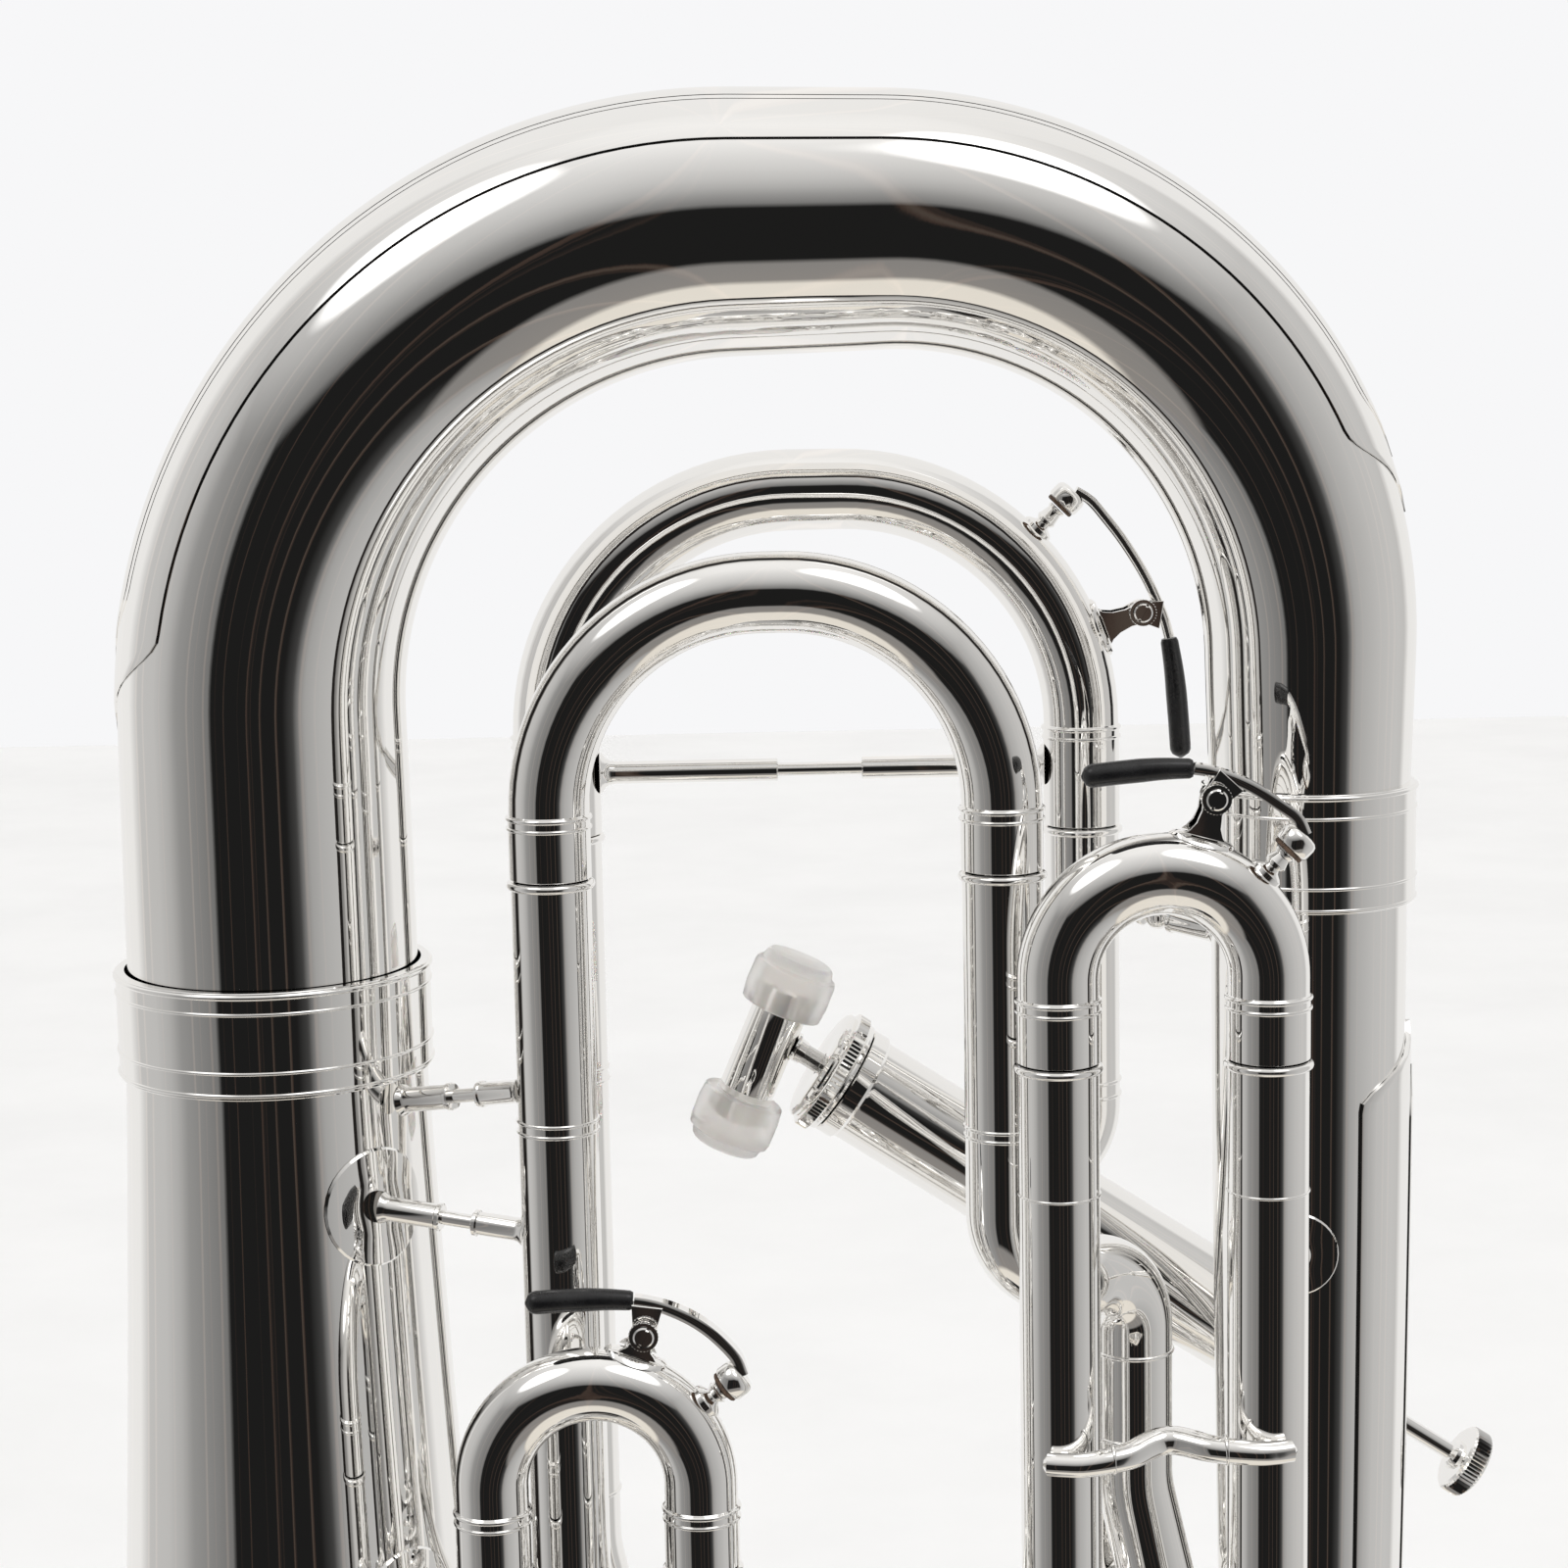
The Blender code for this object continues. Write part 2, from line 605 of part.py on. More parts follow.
def make_slide_tubes(casings):
    """The fixed outer tubes of the slides, with the stays that are soldered to them."""
    y = THIRD_SLIDE["y"] - THIRD_SLIDE["r_left"] - 1.6
    wave = [(203.0, y, 632.8), (214.0, y - 1.8, 633.0), (224.0, y, 634.3), (234.8, y + 5.5, 636.4),
            (246.0, y, 635.8), (256.0, y - 1.8, 635.2), (266.5, y, 635.2)]
    brace = rod([Vector(p) for p in wave], [3.3, 3.5, 3.3, 3.0, 3.3, 3.5, 3.3], 10)
    branch_stay = [stay((276.0, -26.2, 667.6), (263.5, -69.0, 667.6)),
                   patch((BOW_RIGHT_X, 0), 26.6, -106, 667.6, 7.0)]
    runs = [leg_into_valve(THIRD_SLIDE, 0, VALVE_X[2], HIGH_PORT_Z),
            leg_into_valve(THIRD_SLIDE, 1, VALVE_X[2], LOW_PORT_Z)]
    part("third_slide_outer_tubes", [tubing(runs, [brace, *branch_stay], [casings[2]])], SILVER)

    first = FIRST_SLIDE
    brace = stay((first["left"] + 6, first["y"], 566.0), (first["right"] - 6, first["y"], 566.0))
    bell_stay = [stay((36.7, -34.2, 577.0), (58.0, -69.5, 577.0)),
                 patch((0, 0), 49.5, -43, 577.0, 12.0)]
    runs = [leg_into_valve(first, 0, VALVE_X[0], LOW_PORT_Z),
            leg_into_valve(first, 1, VALVE_X[0], HIGH_PORT_Z)]
    part("first_slide_outer_tubes", [tubing(runs, [brace, *bell_stay], [casings[0]])], SILVER)

    x, y, r = leg_places(MAIN_SLIDE)[1]
    face = fourth_point(FOURTH_MAIN_PORT)
    path = route([(x, y, MAIN_SLIDE["mouth"]), (x, y, MAIN_TUBE_KNEE_Z), tuple(face)], 21.0)
    brace = stay((262.9, 18.0, 747.8), (230.5, 43.0, 752.0))
    part("main_slide_outer_tube", [tubing([(path, r, r - SLEEVE_WALL, SIDES_TUBE)], [brace],
                                          [casings[3]])], SILVER)


def make_second_slide(casings):
    """The short slide of valve 2, which points at the player."""
    x = VALVE_X[1]
    low, high = SECOND_SLIDE_Z
    runs = [([Vector((x, VALVE_Y, z)), Vector((x, SECOND_MOUTH_Y, z))], SECOND_R,
             SECOND_R - SLEEVE_WALL, SIDES_TUBE) for z in SECOND_SLIDE_Z]
    brace = stay((x, 0.0, low + 6), (x, 0.0, high - 6))
    part("second_slide_outer_tubes", [tubing(runs, [brace], [casings[1]])], SILVER)
    inner = SECOND_R - LEG_STEP
    foot = SECOND_MOUTH_Y - SECOND_LEGS
    step = SECOND_MOUTH_Y + GAP
    crown = SECOND_CROOK_Y + (high - low) / 2
    bend = route([(x, step + 0.1, low), (x, crown, low), (x, crown, high), (x, step + 0.1, high)],
                 (high - low) / 2 - 0.01, CROOK_STEP)
    points = [Vector((x, foot, low)), Vector((x, step, low)), *bend,
              Vector((x, step, high)), Vector((x, foot, high))]
    outer = [inner, inner] + [SECOND_R] * len(bend) + [inner, inner]
    bores = [inner - LEG_WALL] * len(points)
    origin = at(x, SECOND_MOUTH_Y, (low + high) / 2)
    part("second_slide_crook", [tubing([(points, outer, bores, SIDES_CROOK)])], SILVER, origin)


# ---------------------------------------------------------------- valves

FOURTH_AXIS = Vector((math.cos(FOURTH_TILT), 0.0, -math.sin(FOURTH_TILT)))


def fourth_point(distance):
    """A point on valve 4's axis, measured from the face of its finger-side cap."""
    return Vector(FOURTH_FACE) + FOURTH_AXIS * distance


class Valve:
    """A valve's finger-side cap face, and the way its axis runs into the casing."""

    def __init__(self, number, face, axis):
        self.number = number
        self.face = Vector(face)
        self.axis = Vector(axis).normalized()
        self.end = CAP_HEIGHT + CASING_LENGTH

    def point(self, distance):
        return self.face + self.axis * distance

    def turned(self, profile, sides=SIDES_CAP, keep=False):
        return turned(profile, self.face, self.axis, sides, keep)

    def bar(self, radius, low, high, keep=False):
        profile = [(0, high), (radius, high), (radius, low), (0, low)]
        return self.turned(profile, SIDES_CASING, keep)

    def piston_span(self):
        """Where the piston starts and ends along the casing: up in the stack, pressed in valve 4."""
        pressed = TRAVEL if self.number == 4 else 0.0
        return CAP_HEIGHT + 1.0 + pressed, self.end - 1.5 - TRAVEL + pressed


VALVES = [Valve(i + 1, (x, VALVE_Y, STACK_FACE_Z), (0, 0, 1)) for i, x in enumerate(VALVE_X)]
VALVES.append(Valve(4, FOURTH_FACE, FOURTH_AXIS))


def port_cutter(start, towards, radius):
    way = Vector(towards) - Vector(start)
    profile = [(0, PORT_REACH), (radius, PORT_REACH), (radius, 0), (0, 0)]
    return turned(profile, start, way, SIDES_TUBE, True)


def ports_of(number):
    """The start, aim and radius of each port of a valve; the piston has the first two."""
    if number == 4:
        knee = (MAIN_SLIDE["right"], MAIN_SLIDE["y"], MAIN_TUBE_KNEE_Z)
        ports = [(tuple(fourth_point(FOURTH_MAIN_PORT)), knee, BORE_R)]
        for x, y in (RISER, LOOP_RISER):
            centre = fourth_point((x - FOURTH_FACE[0]) / FOURTH_AXIS.x)
            ports.append((tuple(centre), (x, y, 0), BORE_R))
        return ports
    x = VALVE_X[number - 1]
    first, third = FIRST_SLIDE, THIRD_SLIDE
    aims = {
        1: [(MAIN_PORT_Z, (68, -38), BORE_R - 2), (MAIN_PORT_Z, (150, VALVE_Y), BORE_R),
            (HIGH_PORT_Z, (first["right"], first["y"]), BORE_R - 1),
            (LOW_PORT_Z, (first["left"], first["y"]), BORE_R - 1)],
        2: [(SECOND_SLIDE_Z[1], (150, 0), BORE_R - 1), (SECOND_SLIDE_Z[0], (150, 0), BORE_R - 1)],
        3: [(MAIN_PORT_Z, (150, VALVE_Y), BORE_R), (MAIN_PORT_Z, RISER, BORE_R),
            (HIGH_PORT_Z, (third["left"], third["y"]), BORE_R),
            (LOW_PORT_Z, (third["right"], third["y"]), BORE_R), (TOP_PORT_Z, (239.5, -29), BORE_R)],
    }[number]
    if number != 2:
        aims += [(z, (x, 0), LOOP_R - 1) for z in LOOP_Z]
    return [((x, VALVE_Y, z), (*aim, z), radius) for z, aim, radius in aims]


def casing_cutters():
    """Cylinders just larger than the casings, which shape the ends of the tubes."""
    return [valve.bar(CASING_R + GAP, -20, 200, True) for valve in VALVES]


def make_casings(casings):
    """Valve 2's casing carries the two short knuckles that lead to its neighbours."""
    for valve in VALVES:
        low, high = CAP_HEIGHT + GAP, valve.end - GAP
        cutters = [port_cutter(*port) for port in ports_of(valve.number)]
        cutters.append(valve.bar(CASING_R - CASING_WALL, low - 2, high + 2, True))
        adds = []
        if valve.number == 2:
            ends = [Vector((VALVE_X[i], VALVE_Y, MAIN_PORT_Z)) for i in (0, 2)]
            adds.append(rod(ends, KNUCKLE_R, SIDES_CROOK))
            cutters.append(bore(ends, KNUCKLE_R - WALL, SIDES_CROOK))
            cutters += [casings[0], casings[2]]
        part(f"valve_casing_{valve.number}", [shaped(valve.bar(CASING_R, low, high), adds, cutters)],
             SILVER)


def make_caps():
    top = [(CAP_R, CAP_HEIGHT), (CAP_R, 1.2), (CAP_R - 1.2, 0), (STEM_R + 0.6, 0),
           (STEM_R + 0.6, 2), (CASING_R - 4, 2), (CASING_R - 4, CAP_HEIGHT)]
    bottom = [(5.0, BOTTOM_CAP_HEIGHT), (CASING_R + 1.0, BOTTOM_CAP_HEIGHT - 1.5),
              (CASING_R + 1.0, 0), (CASING_R - 2.5, 0), (CASING_R - 3.0, BOTTOM_CAP_HEIGHT - 4.0),
              (2.0, BOTTOM_CAP_HEIGHT - 3.0), (2.0, BOTTOM_CAP_HEIGHT)]
    for valve in VALVES:
        part(f"valve_top_cap_{valve.number}", [valve.turned(top)], SILVER)
        raised = [(r, h + valve.end) for r, h in bottom]
        part(f"valve_bottom_cap_{valve.number}", [valve.turned(raised)], SILVER)


def make_pistons():
    for valve in VALVES:
        start, end = valve.piston_span()
        reach = BUTTON_STANDOFF - GAP if valve.number < 4 else BAR_REACH - BAR_R - GAP
        inner = PISTON_R - PISTON_WALL
        profile = [(PISTON_R, end), (PISTON_R, start), (STEM_R, start), (STEM_R, -reach), (1.2, -reach),
                   (1.2, start + 2.0), (inner, start + 2.0), (inner, end)]
        cutters = [port_cutter(*port) for port in ports_of(valve.number)[:2]]
        body = shaped(valve.turned(profile, SIDES_CASING), [], cutters)
        part(f"valve_piston_{valve.number}", [body], SATIN, at(*valve.face))


def make_finger_pieces():
    low = -BUTTON_STANDOFF - BUTTON_HEIGHT
    button = [(0, -BUTTON_STANDOFF), (6.0, -BUTTON_STANDOFF), (BUTTON_R, -BUTTON_STANDOFF - 2.0),
              (BUTTON_R, low + 1.0), (BUTTON_R - 1.2, low), (0, low)]
    for valve in VALVES[:3]:
        part(f"finger_button_{valve.number}", [valve.turned(button)], PEARL, at(*valve.face))

    valve = VALVES[3]
    across = Vector((math.sin(FOURTH_TILT), 0, math.cos(FOURTH_TILT)))
    centre = valve.point(-BAR_REACH) - across * BAR_DROP
    lean = Vector((math.sin(BAR_LEAN), 0, math.cos(BAR_LEAN)))
    bar = turned([(0, BAR_HALF), (BAR_R - 0.8, BAR_HALF), (BAR_R, BAR_HALF - 0.8),
                  (BAR_R, 0.8 - BAR_HALF), (BAR_R - 0.8, -BAR_HALF), (0, -BAR_HALF)],
                 centre, lean, SIDES_BRANCH)
    part("finger_bar", [bar], SILVER, at(*valve.face))
    near, far = BAR_HALF + GAP, BAR_HALF + 16.5
    profile = [(0, far), (8.5, far), (11.8, far - 3.5), (12.4, far - 8), (11.7, near), (0, near)]
    for name, way in (("upper", 1), ("lower", -1)):
        part(f"finger_bar_cap_{name}", [turned(profile, centre, lean * way, SIDES_BRANCH)], PLASTIC,
             at(*valve.face))


def make_springs():
    """Each valve's return spring, at its pressed length between piston and bottom cap."""
    for valve in VALVES:
        low = CAP_HEIGHT + TRAVEL + 5.0
        high = valve.end - 2.0
        side = valve.axis.orthogonal().normalized()
        up = valve.axis.cross(side)
        turns, per_turn = 4, 6
        points = []
        for i in range(turns * per_turn + 1):
            angle = math.tau * i / per_turn
            height = low + (high - low) * i / (turns * per_turn)
            points.append(valve.point(height) + (side * math.cos(angle) + up * math.sin(angle)) * SPRING_R)
        part(f"valve_spring_{valve.number}", [rod(points, 0.9, 4)], STEEL)


def make_valve_tubing(casings):
    low, high = LOOP_Z
    for i in (0, 2):
        x = VALVE_X[i]
        points = route([(x, VALVE_Y, low), (x, 6.0, low), (x, 6.0, high), (x, VALVE_Y, high)],
                       (high - low) / 2 - 0.01)
        loop = tubing([(points, LOOP_R, LOOP_R - WALL, SIDES_TUBE)], cuts=[casings[i]])
        part(f"compensating_loop_{i + 1}", [loop], SILVER)

    x, y, r = leg_places(FOURTH_SLIDE)[1]
    path = route([(x, y, FOURTH_SLIDE["mouth"]), (x, y, 670.0), (218.0, -41.0, 667.5),
                  (232.0, -29.0, 667.5), (232.0, -29.0, 606.0), (239.5, -29.0, 572.0),
                  (239.5, -29.0, TOP_PORT_Z), (VALVE_X[2], VALVE_Y, TOP_PORT_Z)],
                 [20.0, 3.0, 17.0, 40.0, 40.0, 18.0])
    part("fourth_slide_link", [tubing([(path, r, r - SLEEVE_WALL, SIDES_TUBE)], cuts=[casings[2]])],
         SILVER)

    x, y, r = leg_places(FOURTH_SLIDE)[0]
    top = fourth_point((LOOP_RISER[0] - FOURTH_FACE[0]) / FOURTH_AXIS.x)
    low = LOOP_CROSSING_Z
    path = route([(x, y, FOURTH_SLIDE["mouth"]), (x, y, low), (x, LOOP_Y, low),
                  (LOOP_RISER[0], LOOP_Y, low), (*LOOP_RISER, low), (*LOOP_RISER, top.z)],
                 [18.0, 18.0, 13.9, 13.9])
    braces = [stay((36.9, -23.0, 714.5), (72.5, -45.0, 722.0)),
              stay((31.3, -31.3, 687.2), (71.5, -43.0, 683.3)),
              patch((0, 0), 43.7, -45, 687.2, 13.0)]
    part("fourth_slide_loop", [tubing([(path, r, r - SLEEVE_WALL, SIDES_TUBE)], braces, [casings[3]])],
         SILVER)

    top = fourth_point((RISER[0] - FOURTH_FACE[0]) / FOURTH_AXIS.x)
    path = route([(VALVE_X[2], VALVE_Y, MAIN_PORT_Z), (*RISER, MAIN_PORT_Z), (*RISER, top.z)], 22.0)
    riser = tubing([(path, BORE_R + 0.4, BORE_R - 0.4, SIDES_TUBE)], cuts=[casings[2], casings[3]])
    part("valve_riser", [riser], SILVER)


# ---------------------------------------------------------------- stays and fittings

def stay(start, end):
    """A round stay: a thin rod between two sleeves."""
    start, end = Vector(start), Vector(end)
    span = (end - start).length
    profile = [(0, span), (3.1, span), (3.1, 0.64 * span), (1.9, 0.64 * span), (1.9, 0.42 * span),
               (3.3, 0.42 * span), (3.3, 0), (0, 0)]
    return turned(profile, start, end - start, 10)


def patch(axis, distance, angle, z, radius):
    """The round plate under a stay's foot, square to a tube whose axis is given in X and Y."""
    way = Vector((math.cos(math.radians(angle)), math.sin(math.radians(angle)), 0))
    start = Vector((*axis, z)) + way * distance
    profile = [(0, PATCH_SHEET), (radius, PATCH_SHEET), (radius, 0), (0, 0)]
    return turned(profile, start, way, SIDES_CAP)


def lyre_point(distance):
    return Vector(LYRE_START) + FOURTH_AXIS * distance


def make_lyre_holder():
    """The clamp for a music holder, on valve 4's bottom cap, with its knurled screw."""
    profile = [(8.0, 5.8), (8.0, -5.8), (2.9, -5.8), (2.9, 5.8)]
    part("lyre_socket", [turned(profile, lyre_point(-18.2), FOURTH_AXIS, 8)], SILVER)
    profile = [(0, 22.0), (9.5, 22.0), (10.4, 20.8), (10.4, 16.2), (9.5, 15.0), (2.5, 15.0),
               (2.5, -21.0), (0, -21.0)]
    part("lyre_thumb_screw", [turned(profile, lyre_point(0), FOURTH_AXIS, SIDES_BRANCH)], SILVER,
         at(*lyre_point(0)))


# ---------------------------------------------------------------- water keys

class WaterKey:
    """A water key on a crook's right-hand bend, in X and Z on the crook's own plane."""

    def __init__(self, name, slide, cup_angle, nipple, pivot, lever, tip):
        self.name = name
        self.slide = slide
        self.y = slide["y"]
        self.centre = crook_corner(slide)
        self.rim = slide["bend"] + slide["r_right"] + (0.4 if name == "main" else 0.0)
        self.cup_angle = cup_angle
        self.nipple = nipple
        self.pivot = Vector(pivot)
        self.lever = [Vector(p) for p in lever]
        self.tip = Vector(tip)

    def solid(self, flat):
        return (flat[0], self.y, flat[1])

    def radial(self, distance):
        """A point beyond the rim of the bend in the direction of the cup."""
        way = Vector((math.cos(self.cup_angle), math.sin(self.cup_angle)))
        return self.solid(self.centre + way * (self.rim + distance))

    def mount(self):
        """What is soldered to the crook: the nipple, and the saddle with its screw."""
        radial = Vector((math.cos(self.cup_angle), 0, math.sin(self.cup_angle)))
        nipple = turned([(0, self.nipple - GAP), (2.6, self.nipple - GAP), (2.4, 1.6), (4.2, 0),
                         (4.2, -ROOT), (0, -ROOT)], self.radial(0), radial, 10)
        up = (self.pivot - self.centre).normalized()
        across = Vector((-up.y, up.x))
        foot = self.centre + up * (self.rim - ROOT)
        top = [self.pivot - across * math.cos(a) * EAR_R + up * math.sin(a) * EAR_R
               for a in (math.pi * i / 5 for i in range(6))]
        base = foot + up * 0.7
        ear = [tuple(p) for p in (base + across * 4.4, base - across * 4.4, *top)]
        ears = [outline(ear, [], self.y + way * (LEVER_WIDTH / 2 + 1.2), 1.4) for way in (1, -1)]
        edges = ((5, 0), (-5, 0), (-5, ROOT + 1), (5, ROOT + 1))
        sole = outline([tuple(foot + across * a + up * b) for a, b in edges], [], self.y,
                       LEVER_WIDTH + 4.6)
        pin = turned([(0, 6.2), (PIN_R, 6.2), (PIN_R, -6.2), (0, -6.2)], self.solid(self.pivot),
                     (0, 1, 0), 10)
        return [nipple, sole, *ears, pin]

    def make_lever(self):
        """The sprung strip with its cork cup and its hub around the screw."""
        ends = [self.lever[0] * 2 - self.lever[1], *self.lever, self.lever[-1] * 2 - self.lever[-2]]
        upper, lower = [], []
        for before, here, after in zip(ends, ends[1:], ends[2:]):
            along = (after - before).normalized()
            outward = Vector((-along.y, along.x))
            if outward.dot(here - self.centre) < 0:
                outward = -outward
            upper.append(here + outward * LEVER_HALF)
            lower.append(here - outward * LEVER_HALF)
        near = min(range(len(lower)), key=lambda i: (lower[i] - self.pivot).length)
        reach = (lower[near] - self.pivot).normalized()
        sideways = Vector((-reach.y, reach.x))
        if sideways.dot(lower[-1] - lower[0]) < 0:
            sideways = -sideways
        lobe = [self.pivot - sideways * math.cos(a) * HUB_R - reach * math.sin(a) * HUB_R
                for a in (math.pi * i / 6 for i in range(7))]
        loop = upper + lower[:near:-1] + lobe[::-1] + lower[near - 1::-1]
        count = 8
        hole = [tuple(self.pivot + Vector((math.cos(a), math.sin(a))) * (PIN_R + 0.5))
                for a in (math.tau * i / count for i in range(count))]
        strip = outline([tuple(p) for p in loop], [hole], self.y, LEVER_WIDTH)
        radial = Vector((math.cos(self.cup_angle), 0, math.sin(self.cup_angle)))
        cup = turned([(0, CUP_HEIGHT), (3.6, CUP_HEIGHT), (4.8, CUP_HEIGHT - 1.4), (4.8, 0), (0, 0)],
                     self.radial(self.nipple), radial, SIDES_TUBE)
        origin = at(*self.solid(self.pivot))
        part(self.name + "_water_key_lever", [shaped(strip, [cup])], SILVER, origin)

        end = self.lever[-1]
        way = (self.tip - end).normalized()
        grip = [end + way * 0.4, end + way * 2.0, (end + self.tip) / 2, self.tip - way * 2.0, self.tip]
        sleeve = rod([Vector(self.solid(p)) for p in grip], [2.2, 2.7, 2.9, 3.0, 1.8], 10)
        part(self.name + "_water_key_grip", [sleeve], RUBBER, origin)


def water_keys():
    return [
        WaterKey("third", THIRD_SLIDE, math.radians(45.4), 7.2, (247.6, 800.8),
                 [(270.3, 791.0), (268.4, 794.9), (264.2, 798.2), (258.2, 802.4), (252.0, 805.5),
                  (246.0, 807.4), (242.6, 808.0)], (214.6, 806.3)),
        WaterKey("first", FIRST_SLIDE, math.radians(37.0), 5.2, (102.4, 666.0),
                 [(127.3, 654.2), (125.4, 659.0), (120.0, 665.0), (114.6, 669.0), (108.6, 671.9),
                  (103.4, 673.4), (100.0, 674.0)], (72.2, 673.8)),
        WaterKey("main", MAIN_SLIDE, math.radians(44.8), 8.3, (243.3, 835.2),
                 [(224.8, 869.7), (228.9, 867.0), (233.0, 862.2), (238.4, 855.0), (244.6, 844.8),
                  (249.3, 834.2), (251.2, 827.6)], (254.6, 792.9)),
    ]


# ---------------------------------------------------------------- the whole instrument

def build():
    make_bell()
    make_bows_and_branches()
    make_joint_ferrules()
    make_guards()
    casings = casing_cutters()
    make_leadpipe(casings)
    make_receiver()
    keys = water_keys()
    make_crooks(keys)
    for key in keys:
        key.make_lever()
    make_main_slide_brace()
    make_slide_tubes(casings)
    make_second_slide(casings)
    make_casings(casings)
    make_caps()
    make_pistons()
    make_finger_pieces()
    make_springs()
    make_valve_tubing(casings)
    make_lyre_holder()


build()
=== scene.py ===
"""The looks of a silver-plated three-plus-one valve bass tuba that stands on its bell.

Lengths are in millimetres and become metres in at(). X and Y are measured from the bell's
axis and Z from the floor. The audience is on the -Y side.
"""
import math

import bmesh
import bpy
from mathutils import Matrix, Vector


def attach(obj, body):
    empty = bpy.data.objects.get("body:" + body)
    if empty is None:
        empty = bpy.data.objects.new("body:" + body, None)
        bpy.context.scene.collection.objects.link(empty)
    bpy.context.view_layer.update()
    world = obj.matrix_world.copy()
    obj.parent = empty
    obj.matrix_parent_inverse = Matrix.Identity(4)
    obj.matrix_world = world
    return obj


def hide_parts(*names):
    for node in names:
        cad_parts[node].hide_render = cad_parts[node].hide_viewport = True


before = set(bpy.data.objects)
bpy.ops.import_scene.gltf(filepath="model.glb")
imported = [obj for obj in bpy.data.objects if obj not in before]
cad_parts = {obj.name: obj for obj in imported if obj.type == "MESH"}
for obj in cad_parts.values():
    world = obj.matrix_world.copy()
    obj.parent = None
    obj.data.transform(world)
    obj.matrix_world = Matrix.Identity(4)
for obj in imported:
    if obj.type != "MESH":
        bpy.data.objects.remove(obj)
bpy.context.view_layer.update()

MM = 0.001
BELL_X = -48.0
GAP = 0.4

BELL_RIM_R = 242.0
BELL_NECK_R = 40.3
BELL_TOP_Z = 733.8
BELL_SHIFT = 92.0
BOW_RIGHT_X = 283.5
BOW_R_LEFT = 39.4
BOW_R_RIGHT = 26.6
BRANCH_TOP_Z = 776.6
BRANCH_LOW_Z = 400.0
TOP_BOW_LEFT = (98.0, 52.0)
TOP_BOW_DEPTH = 94.0

SLIDES = {
    "main": dict(left=75.8, right=226.0, y=48.0, centre=796.5, bend=67.8, mouth=774.1,
                 ferrule=803.4, r_left=12.2, r_right=10.6, legs=72.0),
    "fourth": dict(left=80.1, right=196.6, y=-48.0, centre=793.2, bend=55.4, mouth=778.4,
                   ferrule=795.6, r_left=10.4, r_right=10.4, legs=78.0),
    "third": dict(left=208.4, right=261.3, y=-75.0, centre=755.2, bend=26.44, mouth=733.7,
                  ferrule=750.8, r_left=10.3, r_right=10.3, legs=110.0),
    "first": dict(left=62.2, right=115.9, y=-75.0, centre=625.4, bend=26.84, mouth=603.4,
                  ferrule=619.8, r_left=9.4, r_right=9.4, legs=56.0),
}
LEG_STEP = 1.8
SLEEVE_WALL = 0.7

VALVE_Y = -35.0
VALVE_X = (112.0, 150.0, 188.0)
STACK_FACE_Z = 383.0
FOURTH_FACE = Vector((149.0, 48.0, 705.6))
FOURTH_TILT = math.radians(33.4)
FOURTH_AXIS = Vector((math.cos(FOURTH_TILT), 0.0, -math.sin(FOURTH_TILT)))
FOURTH_ACROSS = Vector((math.sin(FOURTH_TILT), 0.0, math.cos(FOURTH_TILT)))
BAR_LEAN = math.radians(23.3)   # of the finger bar, from upright
BAR_WAY = Vector((math.sin(BAR_LEAN), 0.0, math.cos(BAR_LEAN)))
CASING_LENGTH = 164.0
CASING_R = 15.5
CASING_SEAT = 15.1      # where a tube's end meets a casing
CAP_R = 18.5
CAP_HEIGHT = 9.0
UP = Vector((0.0, 0.0, 1.0))

# Where the tubes meet the valves, and the loop that crosses behind the stack
LOW_PORT_Z = 430.0
MAIN_PORT_Z = 475.0
HIGH_PORT_Z = 520.0
TOP_PORT_Z = 545.0
FOURTH_MAIN_PORT = 75.1
MAIN_TUBE_KNEE_Z = 686.0
RISER = (217.7, 48.0)
LOOP_RISER = (240.4, 48.0)
LOOP_Y = 20.0
LOOP_CROSSING_Z = 550.0
LYRE_START = Vector((322.9, 48.0, 590.9))

BEND_STEP = math.radians(4.0)


def at(x, y, z):
    """A point in metres, from millimetres off the bell's axis and the floor."""
    return Vector((x + BELL_X, y, z)) * MM


# ---------------------------------------------------------------- finishes

